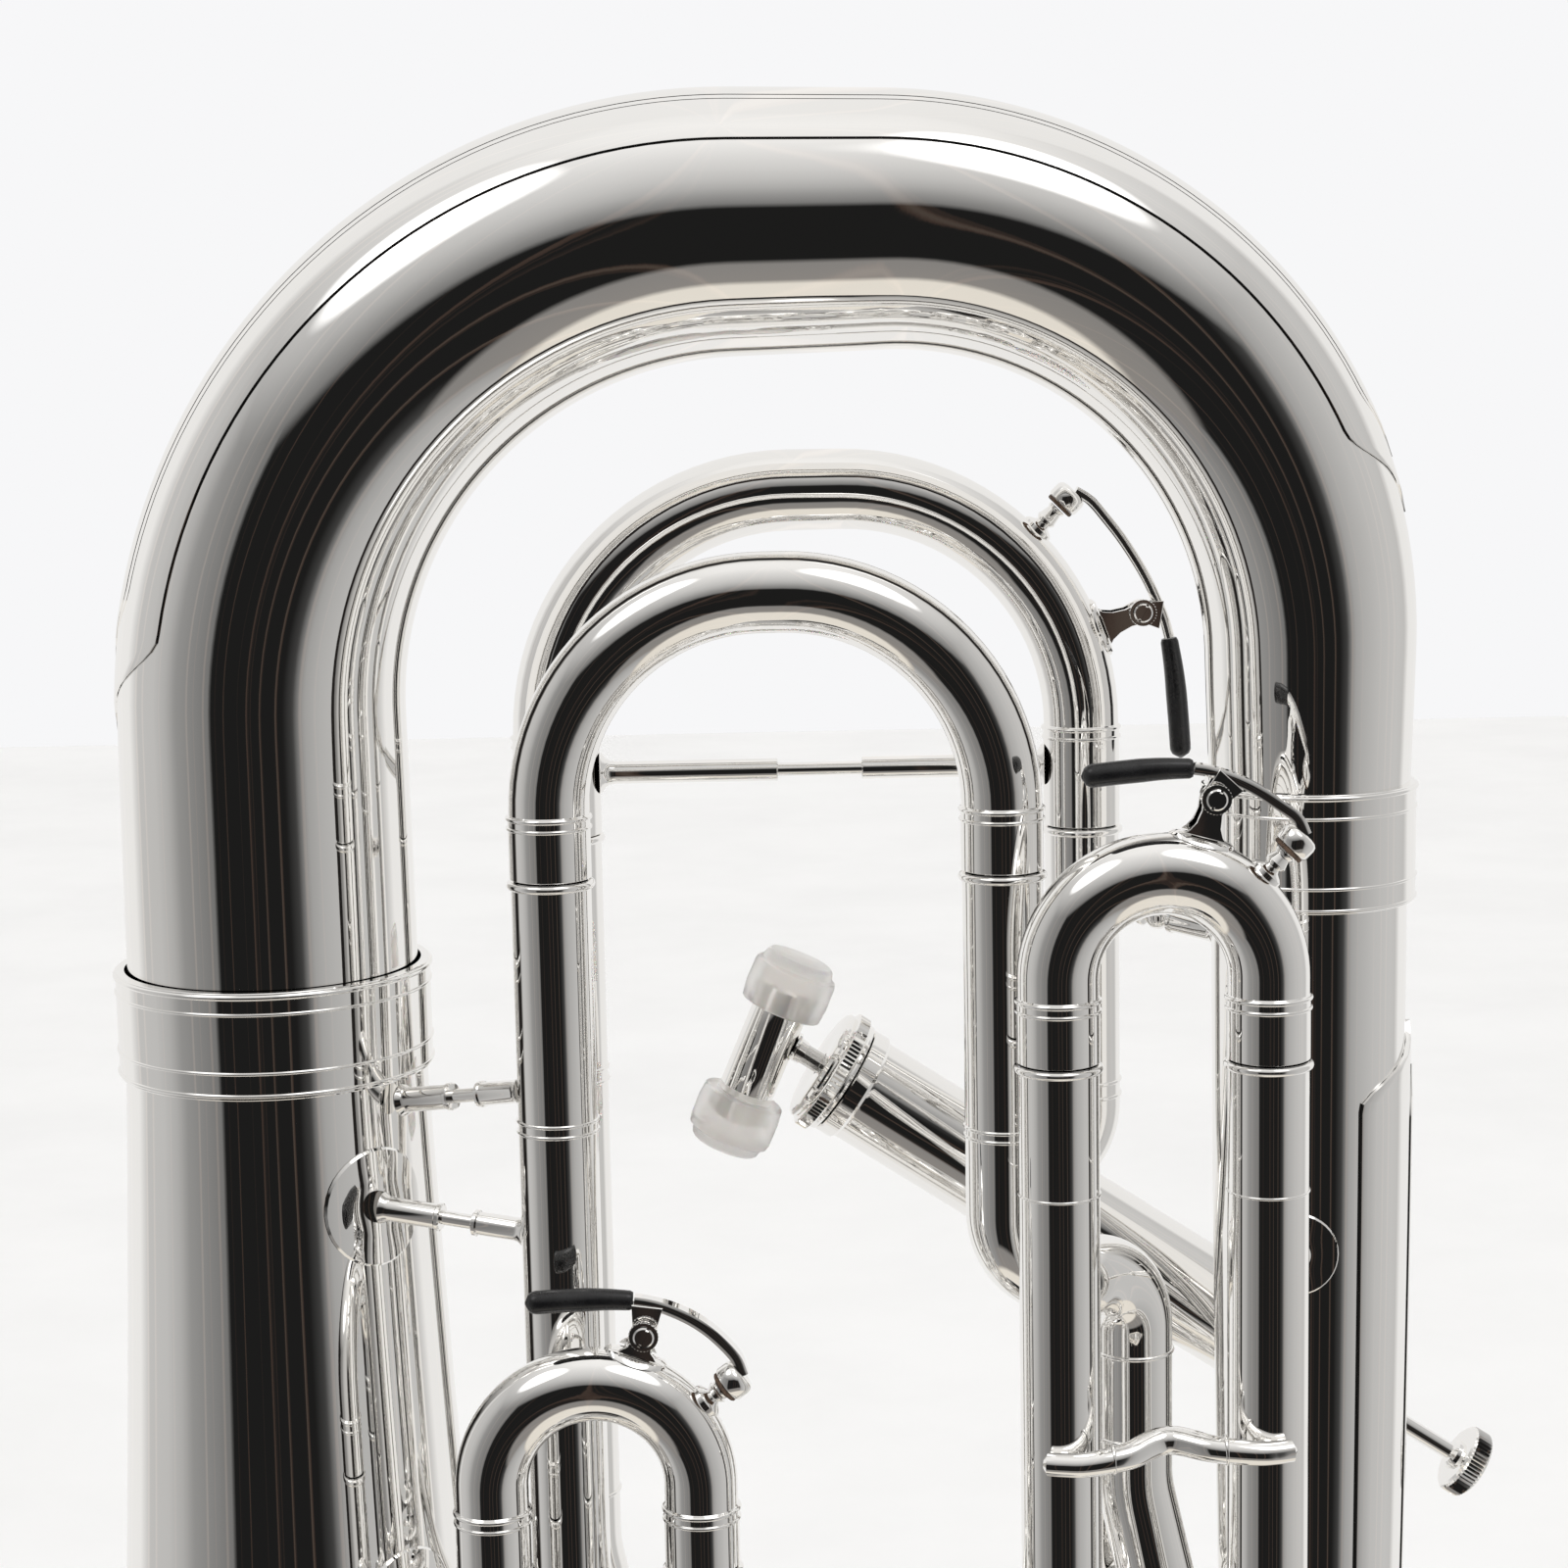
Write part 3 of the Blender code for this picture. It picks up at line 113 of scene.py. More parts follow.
def finish(name, dark, light, metallic, roughness, grain, relief, values=None):
    """A procedural finish: patchy colour, uneven gloss and fine relief on the object's own space."""
    made = bpy.data.materials.new(name)
    made.use_nodes = True
    nodes, links = made.node_tree.nodes, made.node_tree.links
    shader = nodes["Principled BSDF"]
    shader.inputs["Metallic"].default_value = metallic
    for socket, value in (values or {}).items():
        shader.inputs[socket].default_value = value
    place = nodes.new("ShaderNodeTexCoord")

    patchy = nodes.new("ShaderNodeTexNoise")
    patchy.inputs["Scale"].default_value = grain[0]
    patchy.inputs["Detail"].default_value = 6.0
    patchy.inputs["Roughness"].default_value = 0.6
    ramp = nodes.new("ShaderNodeValToRGB")
    ramp.color_ramp.elements[0].position = 0.30
    ramp.color_ramp.elements[0].color = (*dark, 1.0)
    ramp.color_ramp.elements[1].position = 0.62
    ramp.color_ramp.elements[1].color = (*light, 1.0)
    links.new(place.outputs["Object"], patchy.inputs["Vector"])
    links.new(patchy.outputs["Fac"], ramp.inputs["Fac"])
    links.new(ramp.outputs["Color"], shader.inputs["Base Color"])

    smears = nodes.new("ShaderNodeTexNoise")
    smears.inputs["Scale"].default_value = grain[1]
    smears.inputs["Detail"].default_value = 5.0
    smears.inputs["Distortion"].default_value = 0.6
    spread = nodes.new("ShaderNodeMapRange")
    spread.inputs["From Min"].default_value = 0.3
    spread.inputs["From Max"].default_value = 0.7
    spread.inputs["To Min"].default_value = roughness[0]
    spread.inputs["To Max"].default_value = roughness[1]
    links.new(place.outputs["Object"], smears.inputs["Vector"])
    links.new(smears.outputs["Fac"], spread.inputs["Value"])
    links.new(spread.outputs["Result"], shader.inputs["Roughness"])

    normal = None
    for scale, distance in relief:
        texture = nodes.new("ShaderNodeTexNoise")
        texture.inputs["Scale"].default_value = scale
        texture.inputs["Detail"].default_value = 3.0
        bump = nodes.new("ShaderNodeBump")
        bump.inputs["Strength"].default_value = 1.0
        bump.inputs["Distance"].default_value = distance
        links.new(place.outputs["Object"], texture.inputs["Vector"])
        links.new(texture.outputs["Fac"], bump.inputs["Height"])
        if normal is not None:
            links.new(normal, bump.inputs["Normal"])
        normal = bump.outputs["Normal"]
    links.new(normal, shader.inputs["Normal"])
    return made


SILVER = finish("silver_plate", (0.945, 0.933, 0.912), (0.965, 0.956, 0.940), 1.0, (0.012, 0.035),
                (9.0, 30.0), [(14.0, 0.00005), (900.0, 0.0000006)])
SATIN = finish("satin_silver", (0.70, 0.69, 0.67), (0.82, 0.81, 0.79), 1.0, (0.20, 0.34),
               (40.0, 120.0), [(1500.0, 0.000004)])
RUBBER = finish("black_rubber", (0.006, 0.006, 0.007), (0.016, 0.016, 0.017), 0.0, (0.16, 0.34),
                (120.0, 260.0), [(700.0, 0.00002)])
PLASTIC = finish("frosted_plastic", (0.97, 0.955, 0.935), (1.0, 0.985, 0.965), 0.0, (0.30, 0.46),
                 (60.0, 140.0), [(600.0, 0.00002)],
                 {"Transmission Weight": 0.8, "IOR": 1.2, "Subsurface Weight": 0.25,
                  "Subsurface Scale": 0.004})
STEEL = finish("spring_steel", (0.42, 0.42, 0.43), (0.60, 0.60, 0.61), 1.0, (0.16, 0.32),
               (90.0, 300.0), [(1200.0, 0.000004)])
PEARL = finish("pearl", (0.80, 0.79, 0.77), (0.95, 0.94, 0.90), 0.0, (0.08, 0.16),
               (160.0, 90.0), [(140.0, 0.00001)], {"Coat Weight": 0.6, "Coat Roughness": 0.05})
CORK = finish("water_key_cork", (0.05, 0.032, 0.022), (0.16, 0.10, 0.065), 0.0, (0.6, 0.85),
              (700.0, 300.0), [(900.0, 0.0001)])
FELT = finish("cap_felt", (0.20, 0.19, 0.18), (0.36, 0.35, 0.33), 0.0, (0.8, 0.95),
              (600.0, 300.0), [(1500.0, 0.0002)])


# ---------------------------------------------------------------- shapes

def route(corners, bends, step=BEND_STEP):
    """A polyline through the corners, each inner corner rounded by an arc."""
    corners = [Vector(c) for c in corners]
    if not hasattr(bends, "__len__"):
        bends = [bends] * (len(corners) - 2)
    points = [corners[0]]
    for before, here, after, bend in zip(corners, corners[1:], corners[2:], bends):
        arrive = (here - before).normalized()
        leave = (after - here).normalized()
        turn = arrive.angle(leave)
        back = bend * math.tan(turn / 2)
        centre = here + (leave - arrive).normalized() * (bend / math.cos(turn / 2))
        start = here - arrive * back - centre
        axis = arrive.cross(leave).normalized()
        steps = max(2, round(turn / step))
        for i in range(steps + 1):
            points.append(centre + Matrix.Rotation(turn * i / steps, 3, axis) @ start)
    points.append(corners[-1])
    return [points[0]] + [b for a, b in zip(points, points[1:]) if (b - a).length > 0.05]


def dense(points, spacing):
    """The same line with no two points further apart than the spacing."""
    full = [Vector(points[0])]
    for a, b in zip(points, points[1:]):
        count = max(1, math.ceil((Vector(b) - Vector(a)).length / spacing))
        full += [Vector(a).lerp(Vector(b), (i + 1) / count) for i in range(count)]
    return full


def fractions(points):
    """How far along the line each point lies, from 0 to 1."""
    run = [0.0]
    for a, b in zip(points, points[1:]):
        run.append(run[-1] + (b - a).length)
    return [r / run[-1] for r in run]


def smooth_line(points, per_span=6):
    """A smooth curve through the points."""
    points = [Vector(p) for p in points]
    ends = [points[0] * 2 - points[1], *points, points[-1] * 2 - points[-2]]
    line = []
    for a, b, c, d in zip(ends, ends[1:], ends[2:], ends[3:]):
        for i in range(per_span):
            t = i / per_span
            line.append(0.5 * (2 * b + (c - a) * t + (2 * a - 5 * b + 4 * c - d) * t * t
                               + (3 * b - a - 3 * c + d) * t ** 3))
    return line + [points[-1]]


def frames_along(points):
    """The direction and two cross directions at each point, twisting as little as possible."""
    last = len(points) - 1
    side = None
    made = []
    for i in range(len(points)):
        along = (points[min(i + 1, last)] - points[max(i - 1, 0)]).normalized()
        if side is None:
            side = Vector((0, 1, 0)) if abs(along.y) < 0.9 else Vector((1, 0, 0))
        side = (side - along * side.dot(along)).normalized()
        made.append((along, side, along.cross(side)))
    return made


def onto_casing(point, way, casing):
    """Where a line from the point meets the outside of a valve casing."""
    face, axis = casing
    off = point - face
    off -= axis * off.dot(axis)
    flat = way - axis * way.dot(axis)
    a, b, c = flat.dot(flat), off.dot(flat), off.dot(off) - CASING_SEAT ** 2
    root = b * b - a * c
    return point + way * ((-b - math.sqrt(max(root, 0.0))) / a)


def sweep(points, radii, sides=40, inner=None, starts_on=None, ends_on=None):
    """A round bar along a line, or a tube if it has inner radii; its ends may fit a casing."""
    points = [Vector(p) for p in points]
    count = len(points)
    walls = [radii if hasattr(radii, "__len__") else [radii] * count]
    if inner is not None:
        walls.append(inner if hasattr(inner, "__len__") else [inner] * count)
    directions = frames_along(points)
    verts, faces = [], []
    for sizes in walls:
        for i, (point, (along, side, up), size) in enumerate(zip(points, directions, sizes)):
            for k in range(sides):
                angle = math.tau * k / sides
                spot = point + (side * math.cos(angle) + up * math.sin(angle)) * size
                if starts_on and i == 0:
                    spot = onto_casing(spot, -along, starts_on)
                if ends_on and i == count - 1:
                    spot = onto_casing(spot, along, ends_on)
                verts.append(at(*spot))
    for wall in range(len(walls)):
        base = wall * count * sides
        for i in range(count - 1):
            for k in range(sides):
                a, b = base + i * sides + k, base + i * sides + (k + 1) % sides
                faces.append((a, b, b + sides, a + sides))
    if len(walls) == 2:
        for row in (0, count - 1):
            outer, hollow = row * sides, (count + row) * sides
            for k in range(sides):
                n = (k + 1) % sides
                faces.append((outer + k, outer + n, hollow + n, hollow + k))
    else:
        faces.append(tuple(range(sides)))
        faces.append(tuple((count - 1) * sides + k for k in range(sides)))
    return verts, faces


def turned(profile, origin, direction=(0, 0, 1), sides=48):
    """A turned shape from (radius, height) points; a third number is how deep a ring is knurled."""
    turn = UP.rotation_difference(Vector(direction).normalized()).to_matrix()
    start = Vector(origin)
    verts, rows, faces = [], [], []
    for radius, height, *knurl in profile:
        row = []
        for k in range(sides if radius > 0 else 1):
            angle = math.tau * k / sides
            size = radius - (knurl[0] if knurl and k % 2 else 0.0)
            row.append(len(verts))
            spoke = Vector((size * math.cos(angle), size * math.sin(angle), height))
            verts.append(at(*(start + turn @ spoke)))
        rows.append(row)
    pairs = list(zip(rows, rows[1:]))
    if profile[0][0] > 0:
        pairs.append((rows[-1], rows[0]))
    for a, b in pairs:
        for k in range(sides):
            n = (k + 1) % sides
            if len(a) == 1:
                faces.append((a[0], b[k], b[n]))
            elif len(b) == 1:
                faces.append((a[k], a[n], b[0]))
            else:
                faces.append((a[k], a[n], b[n], b[k]))
    return verts, faces


def bead(radius, height, size, steps=6):
    """A half-round bead on a turned profile, going up."""
    angles = [math.pi * (i / steps - 0.5) for i in range(steps + 1)]
    return [(radius + size * math.cos(a), height + size * math.sin(a)) for a in angles]


def band(outer, inner, low, high, marks=()):
    """A sleeve's profile; marks are (height, size), beads above zero and grooves below it."""
    profile = [(inner, low), (outer - 0.25, low), (outer, low + 0.25)]
    for height, size in marks:
        if size > 0:
            profile += bead(outer, height, size)
        else:
            profile += [(outer, height + size), (outer + size, height), (outer, height - size)]
    return profile + [(outer, high - 0.25), (outer - 0.25, high), (inner, high)]


def ring(centre, radius, size, direction=(0, 0, 1), sides=48):
    """A raised line round a tube."""
    low = [(radius - 0.4, -size)]
    return turned(low + bead(radius, 0.0, size) + [(radius - 0.4, size)], centre, direction, sides)


def rings(x, y, radius, heights, size=0.55, sides=48):
    return [ring((x, y, z), radius, size, sides=sides) for z in heights]


def plate(points, y, thickness, rim=0.2):
    """A flat piece that faces the audience, from its outline in X and Z, with its edges broken."""
    loop = [Vector(p) for p in points]
    count = len(loop)
    middle = sum(loop, Vector((0.0, 0.0))) / count
    inset = [p + (middle - p).normalized() * rim for p in loop]
    layers = [(inset, -thickness / 2), (loop, rim - thickness / 2), (loop, thickness / 2 - rim),
              (inset, thickness / 2)]
    verts = [at(p.x, y + depth, p.y) for shape, depth in layers for p in shape]
    faces = [tuple(range(count)), tuple(3 * count + k for k in range(count))]
    for layer in range(3):
        for k in range(count):
            a, b = layer * count + k, layer * count + (k + 1) % count
            faces.append((a, b, b + count, a + count))
    return verts, faces


def strip(points, widths, thickness, y):
    """A bent flat strip that faces outwards in the X-Z plane, with rounded long edges."""
    points = [Vector((p[0], y, p[1])) for p in points]
    verts, faces = [], []
    for (along, _, _), point, width in zip(frames_along(points), points, widths):
        out = Vector((0, 1, 0)).cross(along).normalized()
        half, thick = width / 2, thickness / 2
        for a, b in ((-half, -thick * 0.4), (-half + 0.3, -thick), (half - 0.3, -thick),
                     (half, -thick * 0.4), (half, thick * 0.4), (half - 0.4, thick),
                     (-half + 0.4, thick), (-half, thick * 0.4)):
            verts.append(at(*(point + Vector((0, 1, 0)) * a + out * b)))
    for i in range(len(points) - 1):
        for k in range(8):
            a, b = i * 8 + k, i * 8 + (k + 1) % 8
            faces.append((a, b, b + 8, a + 8))
    faces.append(tuple(range(8)))
    faces.append(tuple((len(points) - 1) * 8 + k for k in range(8)))
    return verts, faces


def shell(grid, lift_grid):
    """A closed thin sheet between two grids of points of the same shape."""
    rows, columns = len(grid), len(grid[0])
    verts = [p for row in grid for p in row] + [p for row in lift_grid for p in row]
    top = rows * columns
    faces = []
    for i in range(rows - 1):
        for j in range(columns - 1):
            a = i * columns + j
            faces.append((a, a + 1, a + 1 + columns, a + columns))
            faces.append((top + a, top + a + columns, top + a + 1 + columns, top + a + 1))
    edge = [j for j in range(columns)]
    edge += [i * columns + columns - 1 for i in range(1, rows)]
    edge += [(rows - 1) * columns + j for j in range(columns - 2, -1, -1)]
    edge += [i * columns for i in range(rows - 2, 0, -1)]
    for a, b in zip(edge, edge[1:] + edge[:1]):
        faces.append((a, b, top + b, top + a))
    return verts, faces


def crown_sheet(points, radii, halves, lift, thickness, columns=28):
    """A sheet that lies on the outer crown of a tube that runs in the X-Z plane."""
    last = len(points) - 1
    low, high = [], []
    for i, (point, radius, half) in enumerate(zip(points, radii, halves)):
        along = (points[min(i + 1, last)] - points[max(i - 1, 0)]).normalized()
        crown = along.cross(Vector((0, 1, 0)))
        rows = ([], [])
        for j in range(columns + 1):
            share = 2 * j / columns - 1
            spoke = crown * math.cos(half * share) + Vector((0, 1, 0)) * math.sin(half * share)
            soft = 0.35 * thickness if j in (0, columns) else 0.0
            rows[0].append(at(*(point + spoke * (radius + lift))))
            rows[1].append(at(*(point + spoke * (radius + lift + thickness - soft))))
        low.append(rows[0])
        high.append(rows[1])
    return shell(low, high)


def ogee(points, widest, tip_length):
    """Half angles of a strip that ends in a pointed ogee at both ends."""
    shares = fractions(points)
    length = sum((b - a).length for a, b in zip(points, points[1:]))
    halves = []
    for share in shares:
        t = min(1.0, min(share, 1 - share) * length / tip_length)
        halves.append(math.radians(0.6 + (widest - 0.6) * t * t * (3 - 2 * t)))
    return halves


def pad(axis, radius_at, angle, z, size, thickness=0.9):
    """The thin round plate under a stay's foot, moulded to an upright tube."""
    spokes = 40
    shares = (0.0, 0.5, 0.85, 0.96, 1.0)
    steps = len(shares) - 1
    layers = []
    for lift in (-0.2, thickness):
        layer = []
        for i in range(steps + 1):
            reach = size * shares[i]
            edge = lift if i < steps or lift < 0 else lift * 0.45
            row = []
            for k in range(spokes):
                turn = math.tau * k / spokes
                height = z + reach * math.sin(turn)
                radius = radius_at(height)
                bearing = math.radians(angle) + reach * math.cos(turn) / radius
                spot = radius + edge
                row.append(at(axis[0] + spot * math.cos(bearing), axis[1] + spot * math.sin(bearing),
                              height))
            layer.append(row)
        layers.append(layer)
    verts = [p for layer in layers for row in layer for p in row]
    faces = []
    top = (steps + 1) * spokes
    for base in (0, top):
        for i in range(steps):
            for k in range(spokes):
                n = (k + 1) % spokes
                a, b = base + i * spokes, base + (i + 1) * spokes
                faces.append((a + k, a + n, b + n, b + k))
    rim = steps * spokes
    for k in range(spokes):
        n = (k + 1) % spokes
        faces.append((rim + k, rim + n, top + rim + n, top + rim + k))
    return verts, faces


def stay(start, end, ball=None):
    """A round stay: flared foot, sleeve, thin rod, sleeve, flared foot, and a ball on some."""
    start, end = Vector(start), Vector(end)
    span = (end - start).length
    near, far = 0.42 * span, 0.64 * span
    profile = [(0, 0), (4.3, 0), (4.2, 0.5), (3.5, 1.4), (3.3, 2.6)]
    profile += [(3.3, near - 1.6), (3.7, near - 1.2), (3.7, near - 0.3), (3.3, near), (1.9, near + 0.1)]
    if ball:
        middle = (near + far) / 2
        profile += [(1.9, middle - ball)] + [
            (max(1.9, ball * math.cos(a)), middle + ball * math.sin(a))
            for a in (math.pi * (i / 12 - 0.5) for i in range(1, 12))] + [(1.9, middle + ball)]
    profile += [(1.9, far - 0.1), (3.1, far), (3.5, far + 0.3), (3.5, far + 1.2), (3.1, far + 1.6)]
    profile += [(3.1, span - 2.6), (3.4, span - 1.4), (4.1, span - 0.5), (4.2, span), (0, span)]
    return turned(profile, start, end - start, 32)


def piece(name, shapes, material, body, nodes=(), crease=32.0):
    """One visible piece of the instrument."""
    bm = bmesh.new()
    for verts, faces in shapes:
        made = [bm.verts.new(v) for v in verts]
        for face in faces:
            bm.faces.new([made[i] for i in face])
    bmesh.ops.remove_doubles(bm, verts=bm.verts, dist=0.0000005)
    bmesh.ops.recalc_face_normals(bm, faces=bm.faces)
    mesh = bpy.data.meshes.new(name)
    bm.to_mesh(mesh)
    bm.free()
    mesh.shade_smooth()
    mesh.set_sharp_from_angle(angle=math.radians(crease))
    mesh.materials.append(material)
    obj = bpy.data.objects.new(name, mesh)
    bpy.context.scene.collection.objects.link(obj)
    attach(obj, body)
    if nodes:
        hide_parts(*nodes)
    return obj


def fixed(name, shapes):
    """A silver piece that doesn't move and stands in for the node of the same name."""
    piece(name, shapes, SILVER, "instrument", [name])


# ---------------------------------------------------------------- bell, bows, branches

def bell_radius(z):
    power = math.log(BELL_RIM_R / BELL_NECK_R) / math.log((BELL_TOP_Z + BELL_SHIFT) / BELL_SHIFT)
    return BELL_NECK_R * ((BELL_TOP_Z + BELL_SHIFT) / (z + BELL_SHIFT)) ** power


def branch_radius(z):
    down = (BRANCH_TOP_Z - z) / (BRANCH_TOP_Z - BRANCH_LOW_Z)
    return 26.4 - 6.0 * down ** 2


def make_bell():
    heights = [BELL_TOP_Z * (i / 70) ** 2.0 for i in range(70, 0, -1)]
    outside = [(bell_radius(z), z) for z in heights if z > 3.4]
    wire = [(239.5 + 2.45 * math.cos(a), 2.5 + 2.45 * math.sin(a))
            for a in (math.radians(130 - 15 * i) for i in range(21))]
    inside = [(bell_radius(z) - 1.0, z - 0.8 * (1 - z / BELL_TOP_Z))
              for z in reversed(heights) if z > 3.4]
    fixed("bell", [turned(outside + wire + inside, (0, 0, 0), sides=160)])


def make_ferrules():
    marks = [(721.0, 0.5), (727.0, 0.45), (742.8, 0.45), (747.4, 0.75)]
    fixed("bell_ferrule", [turned(band(42.6, 40.2, 719.8, 748.6, marks), (0, 0, 0), sides=128)])
    marks = [(762.0, 0.4), (767.8, 0.45), (786.6, 0.45), (792.0, 0.7)]
    fixed("branch_ferrule", [turned(band(28.6, 26.3, 761.1, 793.1, marks), (BOW_RIGHT_X, 0, 0),
                                    sides=96)])


def bow_line(step, spacing):
    corners = [(0, 0, 734.6), (0, 0, 944.8), (BOW_RIGHT_X, 0, 944.8), (BOW_RIGHT_X, 0, 777.4)]
    points = dense(route(corners, [129.0, 115.0], step), spacing)
    radii = [BOW_R_LEFT - (BOW_R_LEFT - BOW_R_RIGHT) * t ** 1.45 for t in fractions(points)]
    return points, radii


def make_bow():
    points, radii = bow_line(math.radians(2.5), 6.0)
    fixed("bottom_bow", [sweep(points, radii, 96, [r - 1.0 for r in radii])])

    points, radii = bow_line(math.radians(2.0), 2.5)
    first = next(i for i, p in enumerate(points) if p.z > 812.0)
    last = max(i for i, p in enumerate(points) if p.z > 855.0)
    points, radii = points[first:last], radii[first:last]
    sheet = crown_sheet(points, radii, ogee(points, 52.0, 24.0), 0.15, 0.6)
    inset = 6
    rail = crown_sheet(points[inset:-inset], radii[inset:-inset],
                       ogee(points[inset:-inset], 21.0, 18.0), 0.6, 0.7, 16)
    lip = crown_sheet(points[inset:-inset], radii[inset:-inset],
                      ogee(points[inset:-inset], 25.0, 18.0), 0.6, 0.35, 16)
    fixed("bow_guard", [sheet, rail, lip])


def make_branches():
    heights = [BRANCH_TOP_Z - 375.8 * i / 60 for i in range(61)]
    line = [Vector((BOW_RIGHT_X, 0, z)) for z in heights]
    radii = [branch_radius(z) for z in heights]
    fixed("outer_branch", [sweep(line, radii, 80, [r - 0.8 for r in radii])])

    heights = [726.0 - 302.0 * i / 120 for i in range(121)]
    line = [Vector((BOW_RIGHT_X, 0, z)) for z in heights]
    radii = [branch_radius(z) for z in heights]
    sheet = crown_sheet(line, radii, ogee(line, 67.0, 19.0), 0.15, 1.4)
    rail = crown_sheet(line[5:-5], radii[5:-5], ogee(line[5:-5], 12.0, 16.0), 1.3, 1.0, 12)
    fixed("branch_guard", [sheet, rail])

    main = SLIDES["main"]
    top = Vector((main["left"], main["y"], main["mouth"]))
    foot = Vector((*TOP_BOW_LEFT, 400.8))
    line = dense(route([top, (top.x, top.y, 560.0), (*TOP_BOW_LEFT, 441.0), foot], 60), 8.0)
    radii = [main["r_left"] + 4.3 * max(0.0, (560.0 - p.z) / (560.0 - foot.z)) for p in line]
    x, y, r = main["left"], main["y"], main["r_left"]
    lines = rings(x, y, r, (706.0, 702.4, 578.0), 0.6) + [ring((x, y, main["mouth"] - 0.9), r, 1.1)]
    fixed("inner_branch", [sweep(line, radii, 56, [q - SLEEVE_WALL for q in radii]), *lines])
    make_top_bow()


def make_top_bow():
    left, right = Vector((*TOP_BOW_LEFT, 399.0)), Vector((BOW_RIGHT_X, 0, 399.0))
    middle = (left + right) / 2
    steps = 60
    arc = [middle + (left - middle) * math.cos(math.pi * i / steps)
           - Vector((0, 0, TOP_BOW_DEPTH)) * math.sin(math.pi * i / steps) for i in range(steps + 1)]
    points = [left + UP * 1.4, *arc, right + UP * 0.6]
    radii = [16.8] + [16.8 + 3.6 * t for t in fractions(arc)] + [20.4]
    tube = sweep(points, radii, 72, [r - 1.0 for r in radii])
    low = turned(band(18.8, 16.6, 392.0, 412.0, [(394.0, 0.5), (410.4, 0.7)]), (*TOP_BOW_LEFT, 0),
                 sides=80)
    high = turned(band(22.6, 20.6, 391.0, 411.0, [(393.0, 0.5), (409.4, 0.7)]), (BOW_RIGHT_X, 0, 0),
                  sides=80)
    fixed("top_bow", [tube, low, high])


# ---------------------------------------------------------------- slides

def leg_places(slide):
    return [(slide["left"], slide["r_left"]), (slide["right"], slide["r_right"])]


def crook_line(slide):
    left, right, y, low = slide["left"], slide["right"], slide["y"], slide["ferrule"] - 0.4
    crown = slide["centre"] + (right - left) / 2
    return dense(route([(left, y, low), (left, y, crown), (right, y, crown), (right, y, low)],
                       slide["bend"]), 6.0)


def moving_parts(slide):
    """A crook with its ferrules and its thin sliding legs."""
    line = crook_line(slide)
    radii = [slide["r_left"] + (slide["r_right"] - slide["r_left"]) * t for t in fractions(line)]
    shapes = [sweep(line, radii, 56, [r - 0.8 for r in radii])]
    y, low, high = slide["y"], slide["mouth"] + GAP, slide["ferrule"]
    for x, r in leg_places(slide):
        marks = [(high - 3.5, 0.5), (high - 0.9, 0.6)]
        shapes.append(turned(band(r + 0.25, r - 1.0, low, high, marks), (x, y, 0), sides=56))
        foot = slide["mouth"] - slide["legs"]
        thin = r - LEG_STEP
        shapes.append(sweep([(x, y, foot), (x, y, foot + 1.0), (x, y, low + 0.5)],
                            [thin - 0.3, thin, thin], 48, thin - 0.7))
    return shapes


def mouth_bead(x, y, z, radius):
    """The rolled edge of a fixed tube's mouth."""
    profile = [(radius - 0.6, z), (radius - 0.6, z - 2.4)] + bead(radius, z - 1.15, 1.1)
    return turned(profile, (x, y, 0), sides=56)


def fixed_leg(slide, index, target, z, casing):
    """A fixed leg that runs down and then bends into a valve casing."""
    x, r = leg_places(slide)[index]
    y = slide["y"]
    way = (Vector((target, VALVE_Y, z)) - Vector((x, y, z))).normalized()
    stop = Vector((target, VALVE_Y, z)) - way * (CASING_R + 1.0)
    line = route([(x, y, slide["mouth"]), (x, y, z), stop], 20.0)
    return [sweep(line, r, 56, r - SLEEVE_WALL, ends_on=casing), mouth_bead(x, y, slide["mouth"], r)]


def casing_of(number):
    """A valve's cap face and the way its axis runs."""
    if number == 4:
        return FOURTH_FACE, FOURTH_AXIS
    return Vector((VALVE_X[number - 1], VALVE_Y, STACK_FACE_Z)), UP


def fourth_point(distance):
    return FOURTH_FACE + FOURTH_AXIS * distance


